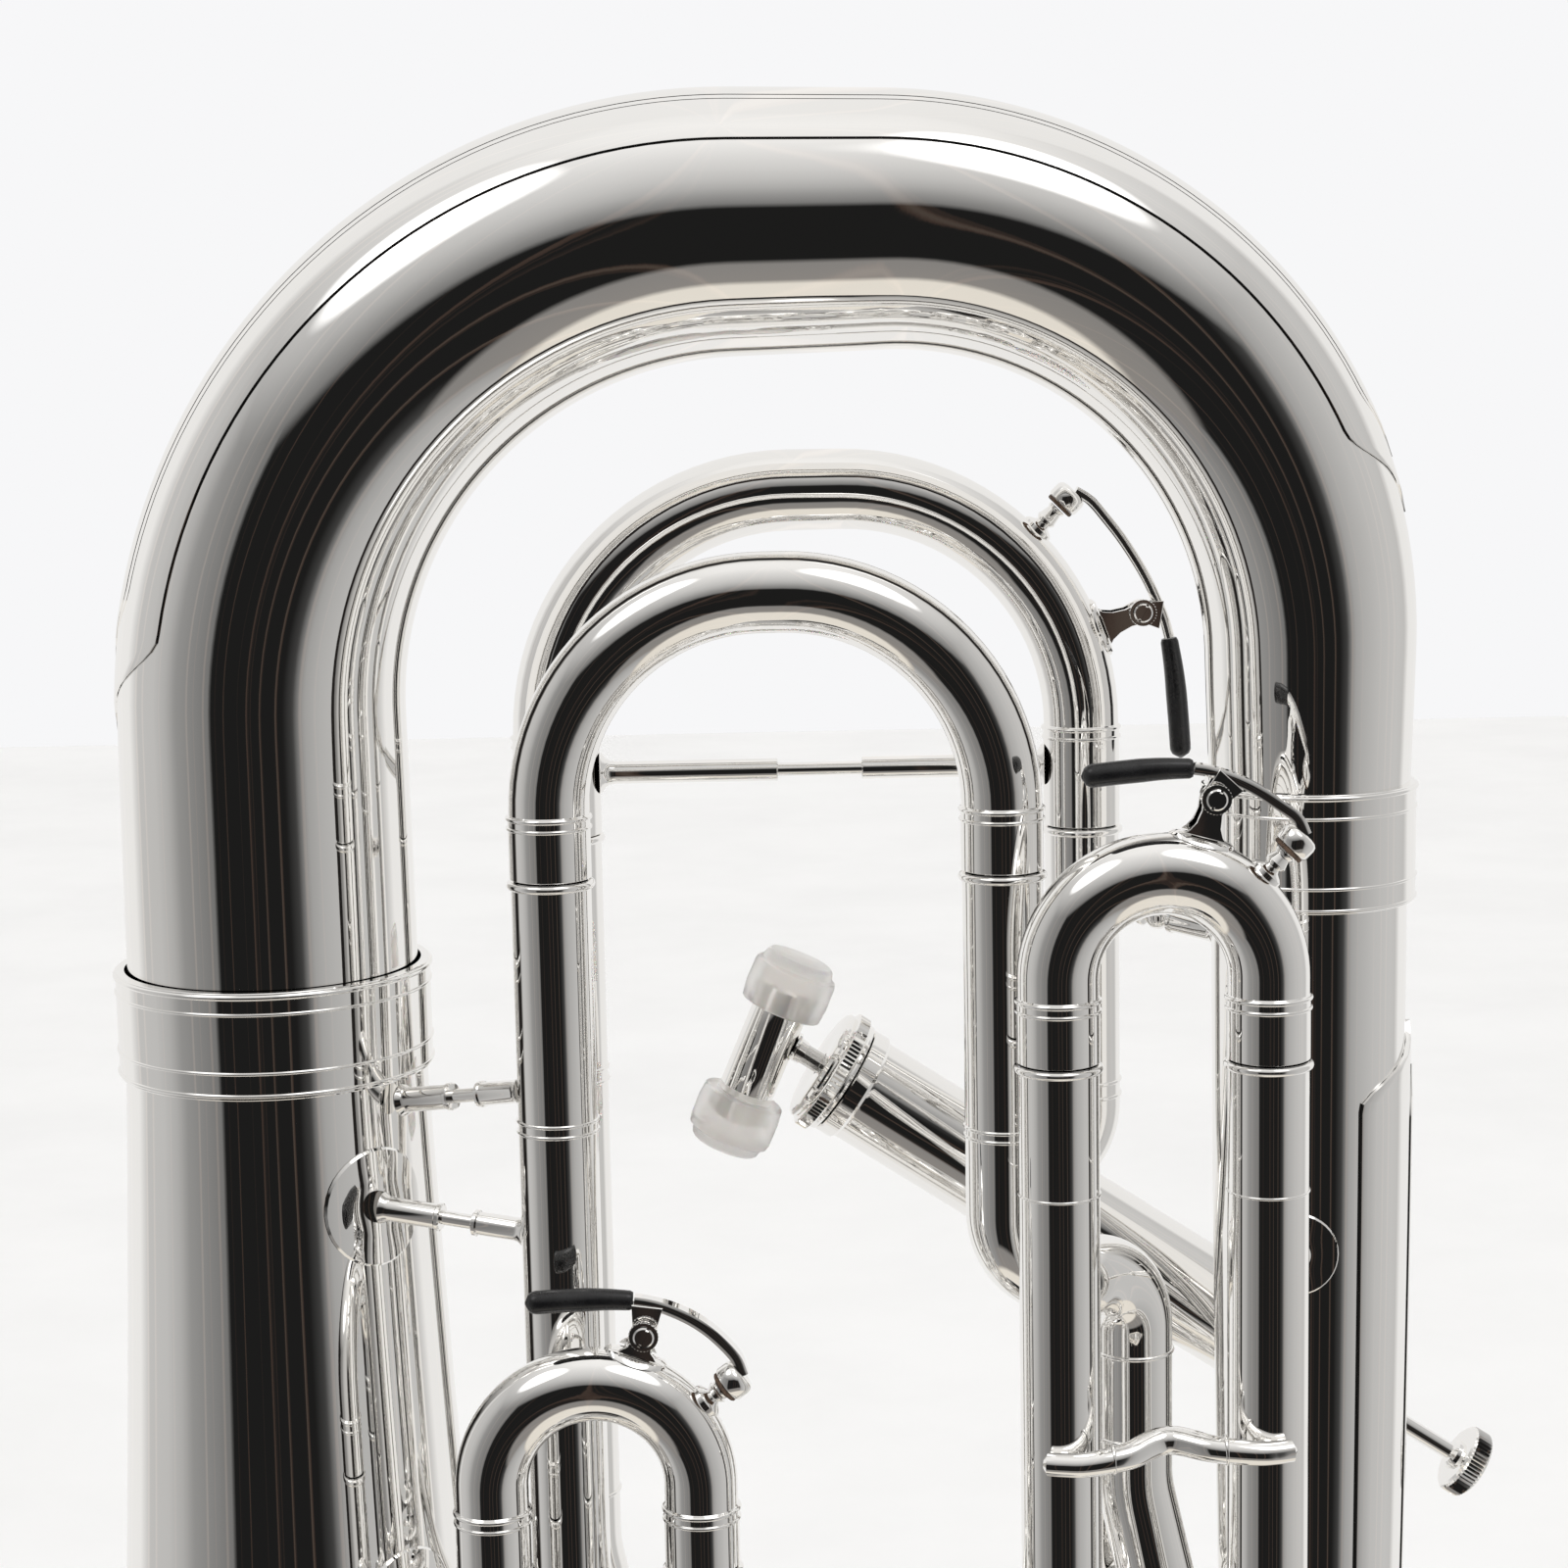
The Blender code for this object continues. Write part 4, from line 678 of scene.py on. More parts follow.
def make_slides():
    main, third, first = (SLIDES[k] for k in ("main", "third", "first"))
    for name, slide in SLIDES.items():
        extras = key_mount(KEYS[name]) if name in KEYS else []
        piece(name + "_slide_crook", moving_parts(slide) + extras, SILVER, name + "_slide",
              [name + "_slide_crook"])

    left = main["left"] + main["r_left"] + 0.5
    right = main["right"] - main["r_right"] - 0.5
    span = right - left
    near, far = 0.40 * span, 0.59 * span
    profile = [(0, 0), (6.0, 0), (5.6, 0.4), (4.2, 1.2), (3.5, 2.4), (3.2, 4.2), (3.2, near - 0.3),
               (3.0, near), (1.9, near), (1.9, far), (3.0, far), (3.2, far + 0.3), (3.2, span - 4.2),
               (3.5, span - 2.4), (4.2, span - 1.2), (5.6, span - 0.4), (6.0, span), (0, span)]
    piece("main_slide_brace", [turned(profile, (left, main["y"], 791.8), (1, 0, 0), 36)], SILVER,
          "main_slide", ["main_slide_brace"])

    y = third["y"] - third["r_left"] - 1.6
    wave = [(203.0, y, 632.8), (208.0, y - 1.2, 632.8), (214.0, y - 1.8, 633.0), (224.0, y, 634.3),
            (234.8, y + 5.5, 636.4), (246.0, y, 635.8), (256.0, y - 1.8, 635.2),
            (261.5, y - 1.2, 635.0), (266.5, y, 635.2)]
    line = smooth_line(wave, 5)
    sizes = [3.3 - 0.35 * math.cos(math.tau * t) - (1.6 if t in (0.0, 1.0) else 0.0)
             for t in fractions(line)]
    shapes = [sweep(line, sizes, 28)]
    for x, z in ((220.6, 633.8), (249.0, 635.7)):
        shapes.append(ring((x, y - 0.4, z), 3.4, 0.55, (1, 0, 0.05), 32))
    shapes += fixed_leg(third, 0, VALVE_X[2], HIGH_PORT_Z, casing_of(3))
    shapes += fixed_leg(third, 1, VALVE_X[2], LOW_PORT_Z, casing_of(3))
    shapes += [stay((276.0, -26.2, 667.6), (263.5, -66.0, 667.6)),
               pad((BOW_RIGHT_X, 0), branch_radius, -106, 667.6, 11.5)]
    for x, r in leg_places(third):
        shapes += rings(x, third["y"], r, (700.0,), 0.35)
    fixed("third_slide_outer_tubes", shapes)

    shapes = fixed_leg(first, 0, VALVE_X[0], LOW_PORT_Z, casing_of(1))
    shapes += fixed_leg(first, 1, VALVE_X[0], HIGH_PORT_Z, casing_of(1))
    shapes += [stay((first["left"] + 8.6, first["y"], 566.0), (first["right"] - 8.6, first["y"], 566.0)),
               stay((37.5, -34.9, 577.0), (56.2, -68.0, 577.0)),
               pad((0, 0), bell_radius, -43, 577.0, 15.0)]
    fixed("first_slide_outer_tubes", shapes)

    x, y, r = main["right"], main["y"], main["r_right"]
    stop = fourth_point(FOURTH_MAIN_PORT)
    knee = Vector((x, y, MAIN_TUBE_KNEE_Z))
    way = (stop - knee).normalized()
    line = route([(x, y, main["mouth"]), knee, stop - way * (CASING_R + 1.0)], 21.0)
    shapes = [sweep(line, r, 56, r - SLEEVE_WALL, ends_on=casing_of(4)),
              mouth_bead(x, y, main["mouth"], r), *rings(x, y, r, (699.4, 695.2), 0.6),
              stay((261.6, 18.6, 747.8), (232.0, 41.8, 752.0), 3.6)]
    fixed("main_slide_outer_tube", shapes)


def make_second_slide():
    x, low, high, mouth = VALVE_X[1], 430.0, 466.0, 12.0
    shapes = []
    for z in (low, high):
        line = [Vector((x, VALVE_Y + CASING_R + 1.0, z)), Vector((x, -5, z)), Vector((x, mouth, z))]
        shapes.append(sweep(line, 9.6, 48, 8.9, starts_on=casing_of(2)))
        profile = [(9.0, 0.0), (9.0, -2.4)] + bead(9.6, -1.15, 1.1)
        shapes.append(turned(profile, (x, mouth, z), (0, 1, 0), 48))
    shapes.append(stay((x, 0.0, low + 9.0), (x, 0.0, high - 9.0)))
    fixed("second_slide_outer_tubes", shapes)

    bend = (high - low) / 2 - 0.01
    crown = 16.0 + (high - low) / 2
    line = route([(x, mouth + 3.5, low), (x, crown, low), (x, crown, high), (x, mouth + 3.5, high)],
                 bend)
    shapes = [sweep(line, 9.6, 48, 8.8)]
    for z in (low, high):
        shapes.append(sweep([(x, mouth - 22.0, z), (x, mouth - 21.0, z), (x, mouth + 1.0, z)],
                            [7.5, 7.8, 7.8], 40, 7.1))
        profile = band(9.85, 8.6, 0.4, 5.2, [(1.8, 0.45), (4.2, 0.6)])
        shapes.append(turned(profile, (x, mouth, z), (0, 1, 0), 48))
    piece("second_slide_crook", shapes, SILVER, "second_slide", ["second_slide_crook"])


def make_leadpipe():
    start = Vector((VALVE_X[0], VALVE_Y, MAIN_PORT_Z))
    second = Vector((68, -38, 473))
    way = (second - start).normalized()
    corners = [start + way * (CASING_R + 1.0), second, (22, -78, 468), (-74, -78, 458), (-74, 62, 452)]
    line = dense(route(corners, [24, 36, 56]), 8.0)
    radii = [8.2 - 1.4 * t for t in fractions(line)]
    shapes = [sweep(line, radii, 48, [r - 0.8 for r in radii], starts_on=casing_of(1))]
    shapes.append(turned(band(8.9, 7.6, 0.0, 14.0, [(1.6, 0.45), (12.2, 0.55)]),
                         start + way * 24.0, way, 48))
    fixed("leadpipe", shapes)
    length = 49.6
    profile = [(6.5, length), (10.2, length), (10.5, length - 0.4)]
    profile += [(10.5, length - 4.6), (10.1, length - 5.0), (9.0, length - 5.4), (8.8, length - 7.0)]
    profile += [(8.7, 30.0), (9.3, 29.6), (9.3, 28.2), (8.7, 27.8), (8.5, 12.0), (9.2, 11.6),
                (9.2, 9.2), (8.5, 8.8), (8.4, 0.6), (8.1, 0.0), (5.6, 0.0)]
    fixed("mouthpiece_receiver", [turned(profile, (-74, 62.4, 452), (0, 1, 0), 64)])


# ---------------------------------------------------------------- valves

def make_valves():
    for number in (1, 2, 3, 4):
        face, axis = casing_of(number)
        end = CAP_HEIGHT + CASING_LENGTH
        low, high = CAP_HEIGHT + GAP, end - GAP
        profile = [(14.6, high), (14.6, low), (16.3, low), (16.6, low + 0.3), (16.6, low + 4.6),
                   (16.2, low + 5.0), (15.6, low + 5.6), (CASING_R, low + 6.4),
                   (CASING_R, high - 6.4), (15.6, high - 5.6), (16.2, high - 5.0),
                   (16.6, high - 4.6), (16.6, high - 0.3), (16.3, high)]
        shapes = [turned(profile, face, axis, 80)]
        if number == 2:
            for i in (0, 2):
                side = 1 if i == 2 else -1
                reach = side * (CASING_R + 1.0)
                start = Vector((VALVE_X[1] + reach, VALVE_Y, MAIN_PORT_Z))
                finish_at = Vector((VALVE_X[i] - reach, VALVE_Y, MAIN_PORT_Z))
                middle = (start + finish_at) / 2
                shapes.append(sweep([start, middle, finish_at], 10.4, 48, 9.6,
                                    starts_on=casing_of(2), ends_on=casing_of(i + 1)))
        fixed(f"valve_casing_{number}", shapes)

        teeth = 0.42
        cap = [(3.6, 2.0), (3.6, 0.9), (4.2, 0.5), (9.0, 0.15), (14.8, 0.0), (16.2, 0.5), (16.9, 1.3),
               (16.9, 2.0), (16.5, 2.6), (17.6, 2.9), (17.9, 3.2), (CAP_R - 0.1, 3.4, teeth),
               (CAP_R - 0.1, 6.6, teeth), (17.9, 6.8), (17.6, 7.1), (16.9, 7.4), (17.1, 8.0),
               (16.9, 8.7), (16.4, 9.0), (11.5, 9.0), (11.5, 2.0)]
        piece(f"valve_top_cap_{number}", [turned(cap, face, axis, 168)], SILVER, "instrument",
              [f"valve_top_cap_{number}"], crease=24.0)
        cap = [(2.0, 8.0), (2.0, 10.8), (2.4, 11.0), (5.0, 11.0), (6.0, 10.4), (12.0, 9.6), (14.4, 9.8),
               (15.6, 9.4), (16.1, 8.6), (16.3, 7.2, 0.35), (16.3, 3.0, 0.35), (16.1, 2.6), (16.4, 2.0),
               (16.4, 0.6), (16.1, 0.1), (13.0, 0.1), (12.5, 7.0)]
        raised = [(p[0], p[1] + end, *p[2:]) for p in cap]
        piece(f"valve_bottom_cap_{number}", [turned(raised, face, axis, 144)], SILVER, "instrument",
              [f"valve_bottom_cap_{number}"], crease=24.0)
    make_finger_pieces()
    make_valve_tubing()


def make_finger_pieces():
    for number in (1, 2, 3):
        face, axis = casing_of(number)
        body = f"valve_{number}_piston"
        cup = [(0, -17.5), (4.4, -17.5), (4.6, -18.2), (5.4, -19.0), (9.6, -19.8), (10.3, -20.6),
               (10.5, -21.6), (10.5, -23.6), (10.2, -24.1), (9.6, -24.1), (9.4, -23.4), (0, -23.2)]
        piece(f"finger_button_{number}", [turned(cup, face, axis, 64)], SILVER, body,
              [f"finger_button_{number}"])
        inlay = [(0, -23.3), (9.2, -23.3), (9.2, -23.7), (8.4, -24.1), (6.0, -24.35), (3.0, -24.48),
                 (0, -24.5)]
        piece(f"finger_button_pearl_{number}", [turned(inlay, face, axis, 64)], PEARL, body)
        pad_ring = [(3.2, -17.4), (6.6, -17.4), (7.0, -17.1), (7.0, -16.7), (6.6, -16.4), (3.2, -16.4)]
        piece(f"finger_button_felt_{number}", [turned(pad_ring, face, axis, 48)], FELT, body)

    centre = fourth_point(-15.3) - FOURTH_ACROSS * 6.0
    half = 21.0
    profile = [(0, -half), (7.2, -half), (7.7, 0.5 - half), (8.1, 1.2 - half), (8.1, half - 1.2),
               (7.7, half - 0.5), (7.2, half), (0, half)]
    shapes = [turned(profile, centre, BAR_WAY, 64)]
    foot = fourth_point(-8.6)
    shapes.append(turned([(0, 0.0), (4.6, 0.0), (4.6, 0.6), (3.6, 1.4), (3.4, 3.6), (0, 3.6)], foot,
                         FOURTH_AXIS, 40))
    piece("finger_bar", shapes, SILVER, "valve_4_piston", ["finger_bar"])
    for name, way in (("upper", 1), ("lower", -1)):
        near, far = 13.8, 30.0
        cap = [(8.3, near), (11.4, near), (11.9, near + 0.4), (12.4, near + 4.6), (12.3, far - 5.0),
               (11.9, far - 3.6), (10.7, far - 3.0), (10.1, far - 0.9), (9.2, far - 0.1), (0, far),
               (0, far - 2.6), (8.3, far - 2.8)]
        ordered = cap[9:0:-1] + [cap[0], cap[11], cap[10]]
        piece(f"finger_bar_cap_{name}", [turned(ordered, centre, BAR_WAY * way, 64)], PLASTIC,
              "valve_4_piston", [f"finger_bar_cap_{name}"])


def make_valve_tubing():
    low, high = 500.0, 528.0
    for i in (0, 2):
        x = VALVE_X[i]
        stand = VALVE_Y + CASING_R + 1.0
        line = route([(x, stand, low), (x, 6.0, low), (x, 6.0, high), (x, stand, high)], 13.99)
        casing = casing_of(i + 1)
        tube = sweep(line, 8.6, 48, 7.8, starts_on=casing, ends_on=casing)
        lines = [ring((x, -12.0, z), 8.6, 0.5, (0, 1, 0)) for z in (low, high)]
        fixed(f"compensating_loop_{i + 1}", [tube, *lines])

    fourth = SLIDES["fourth"]
    y, mouth = fourth["y"], fourth["mouth"]
    x, r = fourth["right"], fourth["r_right"]
    way = (Vector((VALVE_X[2], VALVE_Y, TOP_PORT_Z)) - Vector((239.5, -29.0, TOP_PORT_Z))).normalized()
    stop = Vector((VALVE_X[2], VALVE_Y, TOP_PORT_Z)) - way * (CASING_R + 1.0)
    line = route([(x, y, mouth), (x, y, 670.0), (218.0, -41.0, 667.5), (232.0, -29.0, 667.5),
                  (232.0, -29.0, 606.0), (239.5, -29.0, 572.0), (239.5, -29.0, TOP_PORT_Z), stop],
                 [20.0, 3.0, 17.0, 40.0, 40.0, 18.0])
    shapes = [sweep(line, r, 56, r - SLEEVE_WALL, ends_on=casing_of(3)), mouth_bead(x, y, mouth, r)]
    shapes += rings(x, y, r, (711.0, 708.6), 0.5)
    shapes += rings(232.0, -29.0, r, (643.4, 619.6), 0.6)
    fixed("fourth_slide_link", shapes)

    x, r = fourth["left"], fourth["r_left"]
    top = fourth_point((LOOP_RISER[0] - FOURTH_FACE.x) / FOURTH_AXIS.x)
    low = LOOP_CROSSING_Z
    line = route([(x, y, mouth), (x, y, low), (x, LOOP_Y, low), (LOOP_RISER[0], LOOP_Y, low),
                  (*LOOP_RISER, low), (*LOOP_RISER, top.z - 30.0)], [18.0, 18.0, 13.9, 13.9])
    shapes = [sweep(line, r, 56, r - SLEEVE_WALL, ends_on=casing_of(4)), mouth_bead(x, y, mouth, r)]
    shapes += rings(x, y, r, (715.0, 712.2), 0.5)
    shapes += [stay((36.9, -23.0, 714.5), (71.2, -44.4, 721.7)), stay((31.3, -31.3, 687.2),
                                                                     (70.4, -42.7, 683.4)),
               pad((0, 0), bell_radius, -45, 687.2, 16.0)]
    fixed("fourth_slide_loop", shapes)

    top = fourth_point((RISER[0] - FOURTH_FACE.x) / FOURTH_AXIS.x)
    corner = Vector((*RISER, MAIN_PORT_Z))
    valve = Vector((VALVE_X[2], VALVE_Y, MAIN_PORT_Z))
    way = (corner - valve).normalized()
    start = valve + way * (CASING_R + 1.0)
    line = route([start, corner, (*RISER, top.z - 30.0)], 22.0)
    tube = sweep(line, 9.8, 48, 9.0, starts_on=casing_of(3), ends_on=casing_of(4))
    fixed("valve_riser", [tube, *rings(*RISER, 9.8, (560.0, 602.0), 0.5)])


# ---------------------------------------------------------------- water keys and lyre holder

class WaterKey:
    """A water key's geometry in X and Z, on the plane of its crook."""

    def __init__(self, name, cup_angle, nipple, pivot, lever, tip):
        slide = SLIDES[name]
        crown = slide["centre"] + (slide["right"] - slide["left"]) / 2
        self.name = name
        self.y = slide["y"]
        self.centre = Vector((slide["right"] - slide["bend"], crown - slide["bend"]))
        self.rim = slide["bend"] + slide["r_right"] + (0.4 if name == "main" else 0.0)
        self.tube = slide["r_right"]
        self.cup_angle = math.radians(cup_angle)
        self.nipple = nipple
        self.pivot = Vector(pivot)
        self.lever = [Vector(p) for p in lever]
        self.tip = Vector(tip)
        self.radial = Vector((math.cos(self.cup_angle), 0, math.sin(self.cup_angle)))

    def solid(self, flat, aside=0.0):
        return Vector((flat[0], self.y + aside, flat[1]))

    def beyond(self, distance):
        """A point beyond the rim of the bend, in the direction of the cup."""
        flat = self.centre + Vector((self.radial.x, self.radial.z)) * (self.rim + distance)
        return self.solid(flat)


KEYS = {
    "third": WaterKey("third", 45.4, 7.2, (247.6, 800.8),
                      [(270.3, 791.0), (268.4, 794.9), (264.2, 798.2), (258.2, 802.4), (252.0, 805.5),
                       (246.0, 807.4), (242.6, 808.0)], (214.6, 806.3)),
    "first": WaterKey("first", 37.0, 5.2, (102.4, 666.0),
                      [(127.3, 654.2), (125.4, 659.0), (120.0, 665.0), (114.6, 669.0), (108.6, 671.9),
                       (103.4, 673.4), (100.0, 674.0)], (72.2, 673.8)),
    "main": WaterKey("main", 44.8, 8.3, (243.3, 835.2),
                     [(224.8, 869.7), (228.9, 867.0), (233.0, 862.2), (238.4, 855.0), (244.6, 844.8),
                      (249.3, 834.2), (251.2, 827.6)], (254.6, 792.9)),
}


def saddle(key, up, across):
    """The oval foot plate, moulded to the tube's outside."""
    low, high = [], []
    for i in range(17):
        run = -8.5 + 17.0 * i / 16
        width = 5.6 * math.sqrt(max(0.0, 1 - (run / 8.5) ** 2)) + 0.3
        rows = ([], [])
        for j in range(13):
            aside = width * (2 * j / 12 - 1)
            drop = key.tube - math.sqrt(key.tube ** 2 - aside ** 2)
            bow = key.rim - math.sqrt(key.rim ** 2 - run ** 2)
            spot = key.centre + across * run + up * (key.rim - drop - bow)
            edge = 0.25 if j in (0, 12) or i in (0, 16) else 0.9
            rows[0].append(at(*key.solid(spot - up * 0.3, aside)))
            rows[1].append(at(*key.solid(spot + up * edge, aside)))
        low.append(rows[0])
        high.append(rows[1])
    return shell(low, high)


def key_mount(key):
    """What is soldered to the crook: nipple, foot plate and forked post with its slotted screw."""
    n = key.nipple - GAP
    nipple = turned([(0, -1.5), (4.7, -1.5), (4.6, 0.2), (3.9, 0.9), (2.5, 1.6), (2.1, 2.2),
                     (2.6, 2.7), (3.0, 3.4), (2.7, 4.1) if n > 5.5 else (2.9, 3.5), (2.2, n - 1.3),
                     (2.6, n - 0.7), (2.7, n - 0.1), (2.3, n), (0, n)], key.beyond(0), key.radial, 40)
    up = (key.pivot - key.centre).normalized()
    across = Vector((-up.y, up.x))
    foot = key.centre + up * (key.rim + 0.5)
    rise = (key.pivot - foot).length
    side = [(5.0, 0.0), (4.2, 0.9), (3.1, 0.30 * rise), (2.6, 0.62 * rise)]
    crown = [(3.1 * math.cos(a), rise + 3.1 * math.sin(a)) for a in
             (math.pi * i / 14 for i in range(15))]
    loop = side + crown + [(-a, b) for a, b in reversed(side)]
    ear = [foot + across * a + up * b for a, b in loop]
    shapes = [nipple, saddle(key, up, across)]
    for aside in (-3.7, 3.7):
        shapes.append(plate(ear, key.y + aside, 1.4))
    bridge = [(3.6, -0.2), (3.4, 1.3), (-3.4, 1.3), (-3.6, -0.2)]
    shapes.append(plate([foot + across * a + up * b for a, b in bridge], key.y, 6.4))
    pin = key.solid(key.pivot)
    shapes.append(turned([(0, -6.2), (1.9, -6.2), (2.2, -5.9), (2.2, -4.4), (1.2, -4.3), (1.2, 4.3),
                          (1.9, 4.4), (2.2, 4.6), (2.2, 5.2), (0, 5.2)], pin, (0, 1, 0), 32))
    shapes += screw_head(pin + Vector((0, -4.4, 0)), math.radians(62))
    return shapes


def screw_head(place, slot_angle):
    """A knurled collar with a slotted, domed screw head that faces the audience."""
    collar = [(2.2, 0.0), (3.7, 0.0), (3.9, 0.15, 0.3), (3.9, 1.15, 0.3), (3.7, 1.3), (2.9, 1.3),
              (2.8, 0.9), (2.2, 0.9)]
    shapes = [turned(collar, place, (0, -1, 0), 56)]
    way = Vector((math.cos(slot_angle), 0, math.sin(slot_angle)))
    off = Vector((-way.z, 0, way.x))
    radius, half, count = 2.7, 0.36, 18
    for side in (1, -1):
        start = math.asin(half / radius)
        rim = [(radius * math.cos(a), radius * math.sin(a)) for a in
               (start + (math.pi - 2 * start) * i / count for i in range(count + 1))]
        verts, faces = [], []
        for depth, shrink in ((0.0, 1.0), (1.7, 1.0), (2.0, 0.84)):
            for a, b in rim:
                spot = place + way * (a * shrink) + off * (side * max(b * shrink, half))
                verts.append(at(*(spot + Vector((0, -depth, 0)))))
        n = count + 1
        for layer in range(2):
            for k in range(n):
                a, b = layer * n + k, layer * n + (k + 1) % n
                faces.append((a, b, b + n, a + n))
        faces += [tuple(range(n)), tuple(2 * n + k for k in range(n))]
        shapes.append((verts, faces))
    return shapes


def make_water_key(key):
    """The sprung lever with its cup, cork, rubber sleeve and wire spring."""
    body = key.name + "_water_key"
    line = smooth_line([(p.x, p.y, 0.0) for p in key.lever], 5)
    flat = [(p.x, p.y) for p in line]
    widths = [4.2 + 1.3 * math.sin(math.pi * min(1.0, 0.15 + t)) for t in fractions(line)]
    shapes = [strip(flat, widths, 2.8, key.y)]
    near = min(key.lever, key=lambda p: (p - key.pivot).length)
    reach = (near - key.pivot).normalized()
    sideways = Vector((-reach.y, reach.x))
    lobe = [key.pivot + sideways * (2.9 * math.cos(a)) - reach * (2.9 * math.sin(a))
            for a in (math.pi * i / 14 for i in range(15))]
    distance = (near - key.pivot).length - 0.4
    lobe += [key.pivot - sideways * 4.0 + reach * distance, key.pivot + sideways * 4.0 + reach * distance]
    for aside in (-2.1, 2.1):
        shapes.append(plate(lobe, key.y + aside, 1.0))
    shapes.append(turned([(1.35, -1.5), (2.3, -1.5), (2.3, 1.5), (1.35, 1.5)], key.solid(key.pivot),
                         (0, 1, 0), 28))
    base = key.beyond(key.nipple)
    cup = [(0, 1.2), (4.3, 1.2), (4.5, 1.3), (4.8, 1.8), (4.8, 4.6), (4.5, 5.5), (3.8, 6.1),
           (2.6, 6.4), (0, 6.4)]
    shapes.append(turned(cup, base, key.radial, 48))
    piece(body + "_lever", shapes, SILVER, body, [body + "_lever"])
    cork = [(0, 0.0), (3.9, 0.0), (4.2, 0.3), (4.2, 1.1), (0, 1.1)]
    piece(body + "_cork", [turned(cork, base, key.radial, 40)], CORK, body)

    end, tip = key.lever[-1], key.tip
    way = (tip - end).normalized()
    side = Vector((-way.y, way.x))
    if side.y < 0:
        side = -side
    length = (tip - end).length
    sag = smooth_line([key.solid(p) for p in (end + way * 0.3, end + way * (length * 0.3) + side * 0.5,
                                              end + way * (length * 0.65) + side * 0.4, tip)], 10)
    sizes = []
    for t in fractions(sag):
        run = t * length
        swell = 2.5 + 0.5 * min(1.0, t * 2.2)
        sizes.append(swell * math.sqrt(max(0.02, 1 - max(0.0, (run - length + 3.0) / 3.0) ** 2))
                     - (0.35 if t == 0 else 0.0))
    piece(body + "_grip", [sweep(sag, sizes, 36)], RUBBER, body, [body + "_grip"],
          crease=50.0)

    coil = []
    for i in range(73):
        angle = math.tau * i / 18
        spot = key.solid(key.pivot, 0) + Vector((2.45 * math.cos(angle), 0, 2.45 * math.sin(angle)))
        coil.append(spot + Vector((0, -1.2 + 2.4 * i / 72, 0)))
    spring = sweep(coil, 0.26, 8)
    piece(body + "_spring", [spring], STEEL, body)


def make_lyre_holder():
    away = LYRE_START - FOURTH_AXIS * 18.2
    profile = [(2.9, -5.8), (6.8, -5.8), (7.6, -5.5), (8.0, -4.9), (8.0, -2.4), (7.2, -1.9),
               (7.2, 1.9), (8.0, 2.4), (8.0, 4.9), (7.6, 5.5), (6.8, 5.8), (2.9, 5.8)]
    fixed("lyre_socket", [turned(profile, away, FOURTH_AXIS, 56)])
    knob = [(0, -21.0), (2.1, -21.0), (2.5, -20.6), (2.5, 12.6), (3.6, 13.0), (4.4, 13.8), (4.6, 15.0),
            (8.8, 15.2), (9.6, 15.7), (10.3, 16.3, 0.5), (10.4, 17.0, 0.6), (10.4, 20.2, 0.6),
            (10.3, 20.9, 0.5), (9.6, 21.5), (8.8, 22.0), (6.6, 21.9), (5.8, 21.4), (0, 21.3)]
    piece("lyre_thumb_screw", [turned(knob, LYRE_START, FOURTH_AXIS, 104)], SILVER, "lyre_screw",
          ["lyre_thumb_screw"], crease=24.0)


# ---------------------------------------------------------------- studio

def ramp_node(nodes, stops):
    made = nodes.new("ShaderNodeValToRGB")
    made.color_ramp.elements.remove(made.color_ramp.elements[1])
    for i, (position, value) in enumerate(stops):
        if i == 0:
            element = made.color_ramp.elements[0]
            element.position = position
        else:
            element = made.color_ramp.elements.new(position)
        colour = value if hasattr(value, "__len__") else (value, value * 0.99, value * 0.975)
        element.color = (*colour, 1.0)
    return made


def maths(nodes, links, operation, *values):
    made = nodes.new("ShaderNodeMath")
    made.operation = operation
    for i, value in enumerate(values):
        if isinstance(value, (int, float)):
            made.inputs[i].default_value = value
        else:
            links.new(value, made.inputs[i])
    return made.outputs[0]


